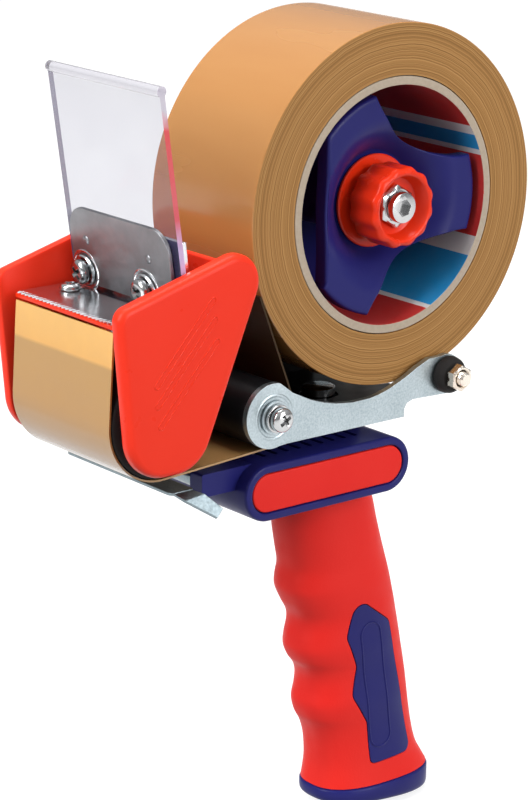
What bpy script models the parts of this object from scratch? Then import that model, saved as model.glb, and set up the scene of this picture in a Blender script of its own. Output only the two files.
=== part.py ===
"""Hand-held tape gun dispenser: steel frame, tape roll on a braked hub, rollers, cutter, pistol grip.

Axes: +X is the open side with the brake knob, -Y is the cutting end, +Z is up.
Every figure below is in millimetres, measured from the middle of the tape roll.
"""
import math

import bmesh
import bpy
from mathutils import Matrix, Vector

for old in list(bpy.data.objects):
    bpy.data.objects.remove(old, do_unlink=True)
for old in list(bpy.data.meshes):
    bpy.data.meshes.remove(old)

MM = 0.001
PLACE = Vector((-0.5, 27.614, 210.961))     # roll centre seen from the origin of the row frame

# Tape
TAPE_HALF = 25.0                        # half the 50 mm tape width
CORE_IN = 38.0                          # 76 mm cardboard core
CORE_OUT = 40.7
ROLL_IN = 41.0
ROLL_OUT = 57.4
FILM = 0.6
GAP = 0.3

# Frame channel
WALL = 2.0
WALL_IN = 26.6                          # inner faces of both side plates
WALL_OUT = WALL_IN + WALL
GUIDE_AT = (-50.8, -59.0)               # guide roller axis (y, z)
GUIDE_R = 10.3
REAR_AT = (20.5, -57.0)                 # rear tie bolt axis (y, z)
BASE_TOP = -66.4
BASE_LOW = -68.4
BASE_FRONT = -41.6

# Front end
FRONT_AT = (-91.5, -53.4)               # front roller axis (y, z)
FRONT_R = 18.3
FRONT_CORE_R = 13.0
CHEEK_IN = 28.9
CHEEK_OUT = 33.4
PANEL_Y = -71.5
GUARD_SCREW_AT = (-79.5, -46.5)         # (y, z) of the screw that holds the guard to the far plate
BLADE_TOP = -21.3
BLADE_FRONT = -109.2
LEAN = math.radians(8.5)                # forward lean of the clear flap
FLAP_FOOT = (-84.7, -21.0)              # (y, z) where the flap's front face starts
FLAP_HALF = 28.0
FLAP_THICK = 1.8
FLAP_TALL = 67.4
CLAMP_SCREWS = (-19.3, 11.5)            # x of the two clamp screws
CLAMP_SCREW_UP = 4.6                    # their height above the flap's foot

# Hub, brake and knob
HUB_R = 35.6
HUB_FACE = 23.0
HUB_DISH = 13.6
SPINDLE_R = 4.9
DISC_R = 14.9
KNOB_R = 13.0
KNOB_FROM = 17.3
KNOB_TO = 29.5
SCALLOPS = 12

# Grip
HEAD_HALF = 26.0
HEAD_MID = (-25.6, -84.4)               # (y, z) of the middle of the grip head
HEAD_LEN = 67.6
HEAD_HIGH = 18.4
BOLT_Y = -8.8
PEG_Y = -34.0
SLOTS = 9                               # slots across the top of the head, on either side
SLOT_PITCH = 4.7
# (z, front y, rear y, half width) down the grip; the front carries the finger grooves
GRIP_RINGS = (
    (-96.9, -24.4, 9.4, 13.0), (-103.0, -24.0, 11.2, 13.1), (-109.2, -23.5, 12.8, 13.2),
    (-116.6, -22.2, 15.0, 13.2), (-122.1, -21.3, 16.8, 13.2), (-126.7, -22.2, 18.3, 13.4),
    (-130.3, -22.2, 19.4, 13.5), (-134.9, -20.0, 20.6, 13.3), (-139.6, -17.3, 21.8, 13.1),
    (-143.3, -16.9, 22.6, 13.1), (-147.9, -18.0, 23.7, 13.3), (-151.6, -18.3, 24.5, 13.4),
    (-155.5, -16.7, 25.3, 13.2), (-159.0, -14.1, 26.1, 13.0), (-162.6, -13.0, 26.8, 13.0),
    (-166.9, -13.3, 27.6, 13.2), (-171.6, -14.3, 28.4, 13.4), (-176.2, -13.2, 29.2, 13.2),
    (-180.2, -10.9, 29.9, 13.0), (-185.0, -9.2, 30.8, 13.0), (-190.0, -8.4, 32.0, 13.2),
    (-194.5, -8.2, 33.6, 13.5), (-198.5, -8.6, 36.0, 14.0), (-202.0, -9.2, 38.2, 14.5),
)

# Finger lever
LEVER_AT = (-67.0, -79.6)               # lever hinge axis (y, z)
LEVER_TOP = -75.0
LEVER_LOW = -76.0


def material(name, rgb, metallic=0.0, rough=0.5, alpha=1.0):
    mat = bpy.data.materials.new(name)
    mat.use_nodes = True
    bsdf = mat.node_tree.nodes["Principled BSDF"]
    bsdf.inputs["Base Color"].default_value = (*rgb, 1.0)
    bsdf.inputs["Metallic"].default_value = metallic
    bsdf.inputs["Roughness"].default_value = rough
    bsdf.inputs["Alpha"].default_value = alpha
    return mat


RED = material("red_plastic", (0.80, 0.035, 0.018), 0.0, 0.42)
BLUE = material("blue_plastic", (0.030, 0.034, 0.22), 0.0, 0.42)
ZINC = material("zinc_steel", (0.62, 0.66, 0.68), 1.0, 0.34)
STEEL = material("bright_steel", (0.72, 0.72, 0.72), 1.0, 0.20)
BLACK = material("black_plastic", (0.012, 0.012, 0.013), 0.0, 0.45)
RUBBER = material("black_rubber", (0.014, 0.013, 0.013), 0.0, 0.70)
BROWN = material("brown_tape", (0.38, 0.20, 0.075), 0.0, 0.30)
CARD = material("core_cardboard", (0.62, 0.50, 0.38), 0.0, 0.80)
CLEAR = material("clear_plastic", (0.90, 0.92, 0.93), 0.0, 0.08, 0.35)


def add_body(name, verts, faces, mat, parent=None, smooth=35.0):
    """Make one object from vertices in millimetres; it stands at its parent's place."""
    base = Vector(parent["axis_mm"]) if parent else Vector((0.0, 0.0, 0.0))
    mesh = bpy.data.meshes.new(name)
    mesh.from_pydata([tuple((Vector(v) - base) * MM) for v in verts], [], faces)
    bm = bmesh.new()
    bm.from_mesh(mesh)
    bmesh.ops.remove_doubles(bm, verts=bm.verts, dist=1e-7)
    bmesh.ops.recalc_face_normals(bm, faces=bm.faces)
    bm.to_mesh(mesh)
    bm.free()
    mesh.materials.append(mat)
    for poly in mesh.polygons:
        poly.use_smooth = True
    mesh.set_sharp_from_angle(angle=math.radians(smooth))
    ob = bpy.data.objects.new(name, mesh)
    bpy.context.scene.collection.objects.link(ob)
    if parent:
        ob.parent = parent
    else:
        ob.location = PLACE * MM
    return ob


def pivot(name, y, z):
    """Empty that stands on a joint axis along X; moving bodies hang from it."""
    em = bpy.data.objects.new(name, None)
    em.empty_display_size = 0.01
    em.location = (Vector((0.0, y, z)) + PLACE) * MM
    em["axis_mm"] = (0.0, y, z)
    bpy.context.scene.collection.objects.link(em)
    return em


def along_x(y, z):
    return Matrix.Translation((0.0, y, z))


def along_z(x, y):
    return Matrix.Translation((x, y, 0.0)) @ Matrix.Rotation(-math.pi / 2.0, 4, "Y")


def on_flap(x, up):
    """Local X points forward out of the flap's front face, local Z runs up the flap."""
    foot = Matrix.Translation((x, FLAP_FOOT[0], FLAP_FOOT[1]))
    lean = Matrix.Rotation(LEAN, 4, "X")
    turn = Matrix.Rotation(-math.pi / 2.0, 4, "Z")
    return foot @ lean @ Matrix.Translation((0.0, 0.0, up)) @ turn


def arc(cy, cz, r, a0, a1, n):
    """Points on a circle, angles in degrees from the first axis towards the second."""
    out = []
    for i in range(n + 1):
        a = math.radians(a0 + (a1 - a0) * i / n)
        out.append((cy + r * math.cos(a), cz + r * math.sin(a)))
    return out


def circle(cy, cz, r, n=24):
    return arc(cy, cz, r, 0.0, 360.0 - 360.0 / n, n - 1)


def rounded(corners, n=5):
    """Closed outline with a fillet at each corner; corners are (a, b, radius)."""
    out = []
    count = len(corners)
    for i in range(count):
        p = Vector(corners[i][:2])
        r = corners[i][2]
        a = (Vector(corners[i - 1][:2]) - p)
        b = (Vector(corners[(i + 1) % count][:2]) - p)
        if r <= 0.0:
            out.append((p.x, p.y))
            continue
        half = a.angle(b) / 2.0
        back = min(r / math.tan(half), 0.49 * a.length, 0.49 * b.length)
        r = back * math.tan(half)
        mid = p + (a.normalized() + b.normalized()).normalized() * (r / math.sin(half))
        start = p + a.normalized() * back - mid
        end = p + b.normalized() * back - mid
        t0 = math.atan2(start.y, start.x)
        sweep = (math.atan2(end.y, end.x) - t0 + math.pi) % (2.0 * math.pi) - math.pi
        for k in range(n + 1):
            t = t0 + sweep * k / n
            out.append((mid.x + r * math.cos(t), mid.y + r * math.sin(t)))
    return out


def flat_body(outer, holes, lo, hi, axis="X"):
    """Vertices and faces of a flat plate with holes, cut square between lo and hi."""
    bm = bmesh.new()
    edges = []
    rings = []
    for ring in [outer] + holes:
        vs = [bm.verts.new((p[0], p[1], 0.0)) for p in ring]
        rings.append(vs)
        for i in range(len(vs)):
            edges.append(bm.edges.new((vs[i], vs[(i + 1) % len(vs)])))
    bmesh.ops.triangle_fill(bm, edges=edges, use_beauty=True)
    bm.verts.index_update()
    flat = [v.co.copy() for v in bm.verts]
    tris = [[v.index for v in f.verts] for f in bm.faces]
    loops = [[v.index for v in vs] for vs in rings]
    bm.free()
    n = len(flat)
    verts = []
    for level in (lo, hi):
        for c in flat:
            if axis == "X":
                verts.append((level, c.x, c.y))
            elif axis == "Z":
                verts.append((c.x, c.y, level))
            else:
                verts.append((c.x, level, c.y))
    faces = [list(t) for t in tris]
    faces += [[i + n for i in reversed(t)] for t in tris]
    for loop in loops:
        for i in range(len(loop)):
            a = loop[i]
            b = loop[(i + 1) % len(loop)]
            faces.append([a, b, b + n, a + n])
    return verts, faces


def plate(name, outer, holes, lo, hi, mat, axis="X", parent=None):
    verts, faces = flat_body(outer, holes, lo, hi, axis)
    return add_body(name, verts, faces, mat, parent)


def loft(name, loops, mat, parent=None, closed=False, smooth=35.0):
    """Skin equal-length loops of 3D points; the ends are capped unless closed."""
    n = len(loops[0])
    count = len(loops)
    verts = [p for loop in loops for p in loop]
    faces = []
    for k in range(count if closed else count - 1):
        a = k * n
        b = ((k + 1) % count) * n
        for i in range(n):
            j = (i + 1) % n
            faces.append([a + i, a + j, b + j, b + i])
    if not closed:
        faces.append(list(range(n)))
        faces.append([(count - 1) * n + i for i in reversed(range(n))])
    return add_body(name, verts, faces, mat, parent, smooth)


def lathe(name, profile, place, mat, parent=None, segs=40, closed=True, shape=None):
    """Turn (x, radius) points about the local X axis of place."""
    loops = []
    for k, (x, r) in enumerate(profile):
        loop = []
        for i in range(segs):
            a = 2.0 * math.pi * i / segs
            rr = r * shape(a, k) if shape else r
            loop.append(place @ Vector((x, rr * math.cos(a), rr * math.sin(a))))
        loops.append(loop)
    return loft(name, loops, mat, parent, closed)


def tube(name, x0, x1, r_in, r_out, place, mat, parent=None, segs=40, edge=0.0):
    profile = [(x0, r_in), (x0, r_out), (x1, r_out), (x1, r_in)]
    if edge > 0.0:
        profile = [(x0, r_in), (x0, r_out - edge), (x0 + edge, r_out)]
        profile += [(x1 - edge, r_out), (x1, r_out - edge), (x1, r_in)]
    return lathe(name, profile, place, mat, parent, segs)


def screw(name, face, way, place, head_r, head_h, shank_r, length, parent=None):
    """Pan head screw; its head sits on face and points way (+1 or -1) along local X."""
    prof = [(face - way * length, shank_r), (face, shank_r), (face, head_r)]
    prof += [(face + way * head_h * 0.45, head_r), (face + way * head_h, head_r * 0.6)]
    return lathe(name, prof, place, STEEL, parent, 18, False)


def hexagon(name, x0, x1, flats, bore, place, mat, parent=None):
    """Hexagon nut with chamfered corners; flats is the width across flats."""
    corner = flats / math.sqrt(3.0)
    segs = 24
    loops = []
    rings = ((x0, flats * 0.48), (x0 + 0.5, corner), (x1 - 0.5, corner), (x1, flats * 0.48))
    for x, limit in rings:
        loop = []
        for i in range(segs):
            a = 2.0 * math.pi * i / segs
            side = (a + math.pi / 6.0) % (math.pi / 3.0) - math.pi / 6.0
            r = min(flats / 2.0 / math.cos(side), limit)
            loop.append(place @ Vector((x, r * math.cos(a), r * math.sin(a))))
        loops.append(loop)
    for x in (x1, x0):
        loop = []
        for i in range(segs):
            a = 2.0 * math.pi * i / segs
            loop.append(place @ Vector((x, bore * math.cos(a), bore * math.sin(a))))
        loops.append(loop)
    return loft(name, loops, mat, parent, True, 25.0)


def coil(name, x0, x1, r0, r1, wire, turns, place, mat, parent=None):
    """Open helical spring about local X, with its two ends capped."""
    steps = int(turns * 14)
    loops = []
    for k in range(steps + 1):
        f = k / steps
        a = 2.0 * math.pi * turns * f
        r = r0 + (r1 - r0) * f
        x = x0 + (x1 - x0) * f
        loop = []
        for i in range(5):
            t = 2.0 * math.pi * i / 5
            rr = r + wire * math.cos(t)
            loop.append(place @ Vector((x + wire * math.sin(t), rr * math.cos(a), rr * math.sin(a))))
        loops.append(loop)
    return loft(name, loops, mat, parent, False, 60.0)


def apply_cut(target, cutter, mode):
    """Boolean with a cutter that is kept as a hidden wire object."""
    cutter.hide_render = True
    cutter.display_type = "WIRE"
    mod = target.modifiers.new(cutter.name, "BOOLEAN")
    mod.operation = mode
    mod.object = cutter
    mod.solver = "EXACT"


# Frame channel: near plate, base and tall far plate in one folded sheet
near_outline = arc(-51.2, -58.6, 10.4, 285.0, 75.0, 16)
near_outline += [(-43.5, -52.4), (-36.1, -56.0), (-25.8, -59.0), (-19.0, -59.8), (-12.0, -59.7)]
near_outline += [(-3.8, -58.0), (3.0, -55.4), (8.0, -52.9), (13.1, -50.9)]
near_outline += arc(20.5, -57.2, 6.6, 108.0, -82.0, 12)
near_outline += [(6.5, -63.2), (4.0, -64.0), (3.0, -65.6), (2.9, BASE_LOW), (-45.5, BASE_LOW)]
axle_holes = [circle(*GUIDE_AT, 2.6, 16), circle(*REAR_AT, 2.7, 16)]
frame = plate("frame_channel", near_outline, axle_holes, WALL_IN, WALL_OUT, ZINC)

far_outline = arc(*FRONT_AT, 10.0, 270.0, 100.0, 12)
far_outline += [(-80.0, -41.5), (-60.0, -38.0), (-40.0, -27.0), (-22.0, -8.0)]
far_outline += arc(0.0, 0.0, 15.0, 165.0, 0.0, 12)
far_outline += [(15.6, -14.0), (16.5, -36.0), (17.6, -47.0)]
far_outline += arc(20.5, -57.2, 6.6, 50.0, -82.0, 8)
far_outline += [(6.5, -63.2), (4.0, -64.0), (3.0, -65.6), (2.9, BASE_LOW), (-60.0, BASE_LOW)]
far_outline += [(-74.0, -64.5)]
far_holes = [circle(*GUIDE_AT, 2.6, 16), circle(*REAR_AT, 2.7, 16), circle(*FRONT_AT, 2.6, 16)]
far_holes += [circle(0.0, 0.0, 4.3, 20), circle(*GUARD_SCREW_AT, 1.9, 12)]
far_wall = plate("cut_far_wall", far_outline, far_holes, -WALL_OUT, -WALL_IN, ZINC)
base_edge = WALL_IN + 1.0
base_outline = [(-base_edge, BASE_FRONT), (base_edge, BASE_FRONT), (base_edge, 2.8), (-base_edge, 2.8)]
base_holes = [circle(0.0, BOLT_Y, 3.4, 20), circle(0.0, PEG_Y, 2.4, 16)]
base_web = plate("cut_base_web", base_outline, base_holes, BASE_LOW + 0.05, BASE_TOP, ZINC, "Z")
apply_cut(frame, base_web, "UNION")
apply_cut(frame, far_wall, "UNION")

# Black moulded liner: a side sheet on the far plate and a floor on the channel's base
shield_outline = rounded([(-64.0, -46.0, 3.0), (-39.0, -47.6, 3.0), (-37.0, -65.9, 1.0),
                          (11.0, -65.9, 1.0), (12.0, -20.0, 6.0), (2.0, -17.0, 3.0),
                          (-18.0, -14.0, 4.0), (-40.0, -31.0, 5.0), (-60.0, -40.0, 5.0)])
shield = plate("inner_shield", shield_outline, [], -26.3, -25.5, BLACK)
floor_outline = [(-26.0, -36.4), (-5.0, -36.4), (-5.0, -29.0), (5.0, -29.0), (5.0, -36.4), (14.0, -36.4),
                 (14.0, 18.0), (-26.0, 18.0)]
floor_holes = [circle(0.0, BOLT_Y, 6.2, 20)]
shield_floor = plate("cut_shield_floor", floor_outline, floor_holes, -66.1, -65.3, BLACK, "Z")
apply_cut(shield, shield_floor, "UNION")

# Guide roller on a long screw
guide = along_x(*GUIDE_AT)
guide_pivot = pivot("guide_roller_pivot", *GUIDE_AT)
tube("guide_roller", -25.2, 26.2, 2.75, GUIDE_R, guide, BLACK, guide_pivot, 36, 0.6)
screw("guide_screw", 31.4, 1.0, guide, 3.9, 3.0, 2.3, 65.0)
tube("guide_washer", WALL_OUT + GAP, 29.7, 2.7, 5.4, guide, ZINC, None, 24)
tube("guide_spring_washer", 30.0, 31.1, 2.7, 4.5, guide, STEEL, None, 24)
hexagon("guide_nut", -32.6, -WALL_OUT - GAP, 8.0, 2.7, guide, STEEL)

# Rear tie bolt with rubber bush and nut
rear = along_x(*REAR_AT)
rear_profile = [(-32.4, 3.0), (-32.4, 4.3), (-28.9, 4.3), (-28.9, 2.3), (37.9, 2.3), (38.4, 1.8)]
lathe("rear_bolt", rear_profile, rear, STEEL, None, 18, False)
bush_profile = [(28.9, 2.7), (28.9, 5.4), (29.5, 6.1), (31.6, 5.8), (32.9, 4.9), (32.9, 2.7)]
lathe("rear_bush", bush_profile, rear, RUBBER, None, 24)
hexagon("rear_nut", 33.2, 36.6, 7.6, 2.7, rear, STEEL)

# Front roller on its axle
front = along_x(*FRONT_AT)
front_pivot = pivot("front_roller_pivot", *FRONT_AT)
core_profile = [(-25.6, 2.75), (-25.6, 6.0), (-23.0, 6.0), (-22.4, 11.4), (-25.4, 11.8)]
core_profile += [(-25.4, FRONT_CORE_R), (25.4, FRONT_CORE_R), (25.4, 11.8), (22.4, 11.4)]
core_profile += [(23.0, 6.0), (25.6, 6.0), (25.6, 2.75)]
lathe("front_roller_core", core_profile, front, BLACK, front_pivot, 32)
tube("front_roller_tyre", -25.4, 25.4, FRONT_CORE_R + GAP, FRONT_R, front, RUBBER, front_pivot, 48, 0.7)
axle_profile = [(-37.2, 2.6), (-37.4, 3.4), (-37.4, 4.6), (-33.8, 4.9), (-33.8, 2.3)]
axle_profile += [(28.0, 2.3), (28.3, 2.0)]
lathe("front_axle", axle_profile, front, STEEL, None, 18, False)
tube("front_axle_collar", 26.0, 27.8, 2.6, 5.0, front, STEEL, None, 20)

# Red guard: two cheeks joined by a cross panel
cheek_corners = [(-113.0, -16.0, 4.6), (-107.8, -69.0, 14.0), (-82.2, -69.0, 13.0), (-53.8, 0.1, 9.3)]
cheek = rounded(cheek_corners, 6)


def inset(outline, d):
    """Move a closed convex outline inwards by d."""
    n = len(outline)
    cy = sum(p[0] for p in outline) / n
    cz = sum(p[1] for p in outline) / n
    out = []
    for i in range(n):
        a = Vector(outline[i - 1])
        b = Vector(outline[(i + 1) % n])
        t = (b - a).normalized()
        nrm = Vector((-t.y, t.x))
        if nrm.dot(Vector((cy, cz)) - Vector(outline[i])) < 0.0:
            nrm = -nrm
        out.append((outline[i][0] + nrm.x * d, outline[i][1] + nrm.y * d))
    return out


def cheek_loops(x_in, x_out):
    """Loops of a cheek with a soft outer edge and a small inner edge."""
    s = 1.0 if x_out > x_in else -1.0
    levels = ((x_in, 0.5), (x_in + s * 0.5, 0.0), (x_out - s * 2.3, 0.0), (x_out - s * 1.2, 0.4))
    levels += ((x_out - s * 0.4, 1.2), (x_out, 2.4))
    return [[(x, p[0], p[1]) for p in inset(cheek, d)] for x, d in levels]


guard = loft("front_guard", cheek_loops(CHEEK_IN, CHEEK_OUT), RED)
far_cheek = loft("cut_far_cheek", cheek_loops(-CHEEK_IN, -CHEEK_OUT), RED)
panel_section = rounded([(PANEL_Y - 2.4, -6.5, 0.8), (PANEL_Y, -6.5, 0.8), (PANEL_Y, -38.0, 0.8),
                         (PANEL_Y - 2.4, -38.0, 0.8)], 3)
panel = plate("cut_panel", panel_section, [], -CHEEK_IN - 1.0, CHEEK_IN + 1.0, RED)
apply_cut(guard, panel, "UNION")
apply_cut(guard, far_cheek, "UNION")
for tag, spot, r in (("axle", FRONT_AT, 2.7), ("screw", GUARD_SCREW_AT, 2.0)):
    drill = lathe("cut_guard_" + tag, [(-40.0, r), (-27.0, r)], along_x(*spot), RED, None, 20, False)
    apply_cut(guard, drill, "DIFFERENCE")
screw("guard_screw", -33.7, -1.0, along_x(*GUARD_SCREW_AT), 3.2, 2.2, 1.6, 7.3)

# Cutter: folded bracket, toothed blade, red edge strip and two screws
foot_y = FLAP_FOOT[0]
foot_z = FLAP_FOOT[1]


def flap_point(ahead, up):
    """(y, z) of a point ahead of the flap's front face and up along it."""
    y = foot_y - ahead * math.cos(LEAN) - up * math.sin(LEAN)
    z = foot_z - ahead * math.sin(LEAN) + up * math.cos(LEAN)
    return (y, z)


wall_back = -FLAP_THICK - GAP
bracket_section = [(-104.6, -23.4), (PANEL_Y - 2.7, -23.4), (PANEL_Y - 2.7, -22.2)]
bracket_section += [(flap_point(wall_back - 1.5, 0.0)[0], -22.2), flap_point(wall_back - 1.5, 21.0)]
bracket_section += [flap_point(wall_back, 21.0), (flap_point(wall_back, 0.0)[0], -22.2)]
bracket_section += [(-104.6, -22.2)]
bracket = plate("blade_bracket", bracket_section, [], -27.4, 27.4, ZINC)
teeth = []
pitch = 2.0 * TAPE_HALF / 26
for i in range(26):
    x = -TAPE_HALF + i * pitch
    teeth += [(x, BLADE_FRONT + 1.9), (x + pitch / 2.0, BLADE_FRONT)]
teeth += [(TAPE_HALF, BLADE_FRONT + 1.9), (TAPE_HALF, -90.6), (-TAPE_HALF, -90.6)]
blade_holes = [circle(-16.5, -95.0, 1.9, 12), circle(16.5, -95.0, 1.9, 12)]
plate("cutter_blade", teeth, blade_holes, BLADE_TOP - 0.6, BLADE_TOP, STEEL, "Z")
strip_outline = [(-26.0, -108.9), (26.0, -108.9), (26.0, -104.9), (-26.0, -104.9)]
plate("blade_edge_strip", strip_outline, [], -23.4, -22.2, RED, "Z")
for tag, x in (("far", -16.5), ("near", 16.5)):
    drill = lathe("cut_blade_" + tag, [(-26.0, 1.9), (-20.0, 1.9)], along_z(x, -95.0), RED, None, 16, False)
    apply_cut(bracket, drill, "DIFFERENCE")
    screw("blade_screw_" + tag, BLADE_TOP + GAP, 1.0, along_z(x, -95.0), 3.3, 2.0, 1.5, 5.0)

# Clear flap with a rod along its top, and the plate that clamps it
flap_section = [(0.0, 0.3), (0.0, FLAP_TALL - 1.4)]
flap_section += arc(-FLAP_THICK / 2.0, FLAP_TALL, 1.65, -57.0, 237.0, 14)
flap_section += [(-FLAP_THICK, FLAP_TALL - 1.4), (-FLAP_THICK, 0.3)]
flap_yz = [flap_point(a, u) for a, u in flap_section]
flap = plate("clear_flap", flap_yz, [], -FLAP_HALF, FLAP_HALF, CLEAR)
clamp_outline = rounded([(-25.0, 0.4, 0.8), (25.0, 0.4, 0.8), (25.0, 24.8, 7.5), (-25.0, 24.8, 7.5)], 6)
clamp_holes = [circle(x, CLAMP_SCREW_UP, 2.0, 16) for x in CLAMP_SCREWS]
clamp_v, clamp_f = flat_body(clamp_outline, clamp_holes, GAP, GAP + 1.3, "Y")
clamp_v = [(v[0], *flap_point(v[1], v[2])) for v in clamp_v]
add_body("clamp_plate", clamp_v, clamp_f, ZINC)
for tag, x in (("far", CLAMP_SCREWS[0]), ("near", CLAMP_SCREWS[1])):
    spot = on_flap(x, CLAMP_SCREW_UP)
    drill = lathe("cut_flap_" + tag, [(-3.0, 2.0), (1.0, 2.0)], spot, RED, None, 16, False)
    apply_cut(flap, drill, "DIFFERENCE")
    drill = lathe("cut_wall_" + tag, [(-5.0, 2.0), (-1.0, 2.0)], spot, RED, None, 16, False)
    apply_cut(bracket, drill, "DIFFERENCE")
    tube("clamp_washer_" + tag, GAP + 1.6, GAP + 2.4, 2.0, 5.0, spot, ZINC, None, 20)
    screw("clamp_screw_" + tag, GAP + 2.7, 1.0, spot, 3.9, 2.6, 1.7, 9.0)

# Spindle, hub, core and roll
roll = along_x(0.0, 0.0)
spindle_profile = [(-37.0, 3.3), (-36.6, 3.9), (-26.3, 3.9), (-26.3, SPINDLE_R), (19.0, SPINDLE_R)]
spindle_profile += [(19.3, 4.6), (19.3, 2.9), (2.0, 2.9), (0.5, 1.0)]
lathe("hub_spindle", spindle_profile, roll, STEEL, None, 24, False)
hexagon("spindle_nut", -34.0, -WALL_OUT - GAP, 13.0, 4.3, roll, STEEL)
roll_pivot = pivot("tape_roll_pivot", 0.0, 0.0)
tube("tape_core", -TAPE_HALF, TAPE_HALF, CORE_IN, CORE_OUT, roll, CARD, roll_pivot, 56)
tube("tape_roll", -TAPE_HALF, TAPE_HALF, ROLL_IN, ROLL_OUT, roll, BROWN, roll_pivot, 72)


def bite(angle, mid_angle, mid_r, end_angle):
    """Distance from the axis to the hollow arc between two lobes at this angle."""
    p = [Vector((HUB_R * math.cos(math.radians(a)), HUB_R * math.sin(math.radians(a))))
         for a in (angle, end_angle)]
    m = Vector((mid_r * math.cos(math.radians(mid_angle)), mid_r * math.sin(math.radians(mid_angle))))
    a, b, c = p[0], m, p[1]
    d = 2.0 * (a.x * (b.y - c.y) + b.x * (c.y - a.y) + c.x * (a.y - b.y))
    ux = (a.length_squared * (b.y - c.y) + b.length_squared * (c.y - a.y)
          + c.length_squared * (a.y - b.y)) / d
    uy = (a.length_squared * (c.x - b.x) + b.length_squared * (a.x - c.x)
          + c.length_squared * (b.x - a.x)) / d
    mid = Vector((ux, uy))
    return mid, (a - mid).length


UPPER_MID, UPPER_R = bite(20.0, 60.5, 20.4, 101.0)
LOWER_MID, LOWER_R = bite(-20.0, -62.0, 20.0, -104.0)


def hub_edge(deg):
    """Radius of the three-lobed outline at an angle in degrees."""
    ray = Vector((math.cos(math.radians(deg)), math.sin(math.radians(deg))))
    if 20.0 < deg < 101.0 or -104.0 < deg < -20.0:
        mid, r = (UPPER_MID, UPPER_R) if deg > 0.0 else (LOWER_MID, LOWER_R)
        k = ray.dot(mid)
        return k - math.sqrt(max(k * k - mid.length_squared + r * r, 0.0))
    if deg > 137.0 or deg < -139.0:
        return min(HUB_R, 26.2 / max(-ray.x, 0.1))
    return HUB_R


def hub_face(r):
    """How far out the dished front face stands at radius r."""
    f = min(max((r - 15.5) / 13.5, 0.0), 1.0)
    return HUB_DISH + (HUB_FACE - HUB_DISH) * math.sin(f * math.pi / 2.0)


HUB_SEGS = 72
hub_loops = []
for r in (5.3, 15.5):
    hub_loops.append([(HUB_DISH, r * math.cos(2 * math.pi * i / HUB_SEGS),
                       r * math.sin(2 * math.pi * i / HUB_SEGS)) for i in range(HUB_SEGS)])
for f, sink in ((0.33, 0.0), (0.66, 0.0), (1.0, 0.4), (1.0, 5.0)):
    loop = []
    for i in range(HUB_SEGS):
        a = 360.0 * i / HUB_SEGS
        deg = a if a <= 180.0 else a - 360.0
        r = 15.5 + f * (hub_edge(deg) - 15.5)
        loop.append((hub_face(r) - sink, r * math.cos(math.radians(a)), r * math.sin(math.radians(a))))
    hub_loops.append(loop)
for x, r in ((7.0, 12.0), (-20.6, 12.0), (-21.2, 37.6), (-25.2, 37.6), (-25.2, 5.3)):
    hub_loops.append([(x, r * math.cos(2 * math.pi * i / HUB_SEGS),
                       r * math.sin(2 * math.pi * i / HUB_SEGS)) for i in range(HUB_SEGS)])
loft("roll_hub", hub_loops, BLUE, roll_pivot, True, 30.0)

# Roll brake: friction disc, spring, scalloped knob and its screw
tube("brake_disc", HUB_DISH + GAP, 15.2, 5.3, DISC_R, roll, RED, None, 40)
coil("brake_spring", 16.2, 20.6, 7.6, 7.6, 0.55, 2.6, roll, STEEL)


def scallop(a, k):
    return 1.0 - (0.055 if 2 < k < 6 else 0.0) * (0.5 + 0.5 * math.cos(SCALLOPS * a))


knob_pivot = pivot("brake_knob_pivot", 0.0, 0.0)
knob_profile = [(21.6, 3.0), (21.6, 10.6), (KNOB_FROM, 11.0), (KNOB_FROM, KNOB_R)]
knob_profile += [(KNOB_TO - 0.9, KNOB_R), (KNOB_TO, KNOB_R - 1.0), (KNOB_TO, 10.2)]
knob_profile += [(24.2, 9.0), (24.2, 3.0)]
lathe("brake_knob", knob_profile, roll, RED, knob_pivot, 60, True, scallop)
hexagon("knob_nut", 24.5, 26.4, 12.0, 3.0, roll, STEEL, knob_pivot)
cap_profile = [(3.0, 2.0), (3.5, 2.5), (26.7, 2.5), (26.7, 4.9), (28.9, 4.9), (29.3, 4.5)]
cap_profile += [(29.3, 2.9), (27.6, 2.9), (27.2, 0.6)]
lathe("knob_screw", cap_profile, roll, STEEL, knob_pivot, 24, False)


# Tape leaving the roll: round the guide roller, under the front roller and up to the blade
def tangent(c1, r1, s1, c2, r2, s2):
    """Ends of the straight run between two circles; s is +1 with the centre on the left."""
    d = Vector(c2) - Vector(c1)
    nu = math.atan2(d.y, d.x) + math.acos((s2 * r2 - s1 * r1) / d.length)
    n = Vector((math.cos(nu), math.sin(nu)))
    return Vector(c1) - n * (s1 * r1), Vector(c2) - n * (s2 * r2)


def wrap(centre, r, a, b, n):
    """Points on the clockwise arc from a to b, both ends left out."""
    c = Vector(centre)
    t0 = math.atan2(a.y - c.y, a.x - c.x)
    t1 = math.atan2(b.y - c.y, b.x - c.x)
    sweep = (t0 - t1) % (2.0 * math.pi)
    out = []
    for k in range(1, n):
        t = t0 - sweep * k / n
        out.append(c + Vector((math.cos(t), math.sin(t))) * r)
    return out


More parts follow.
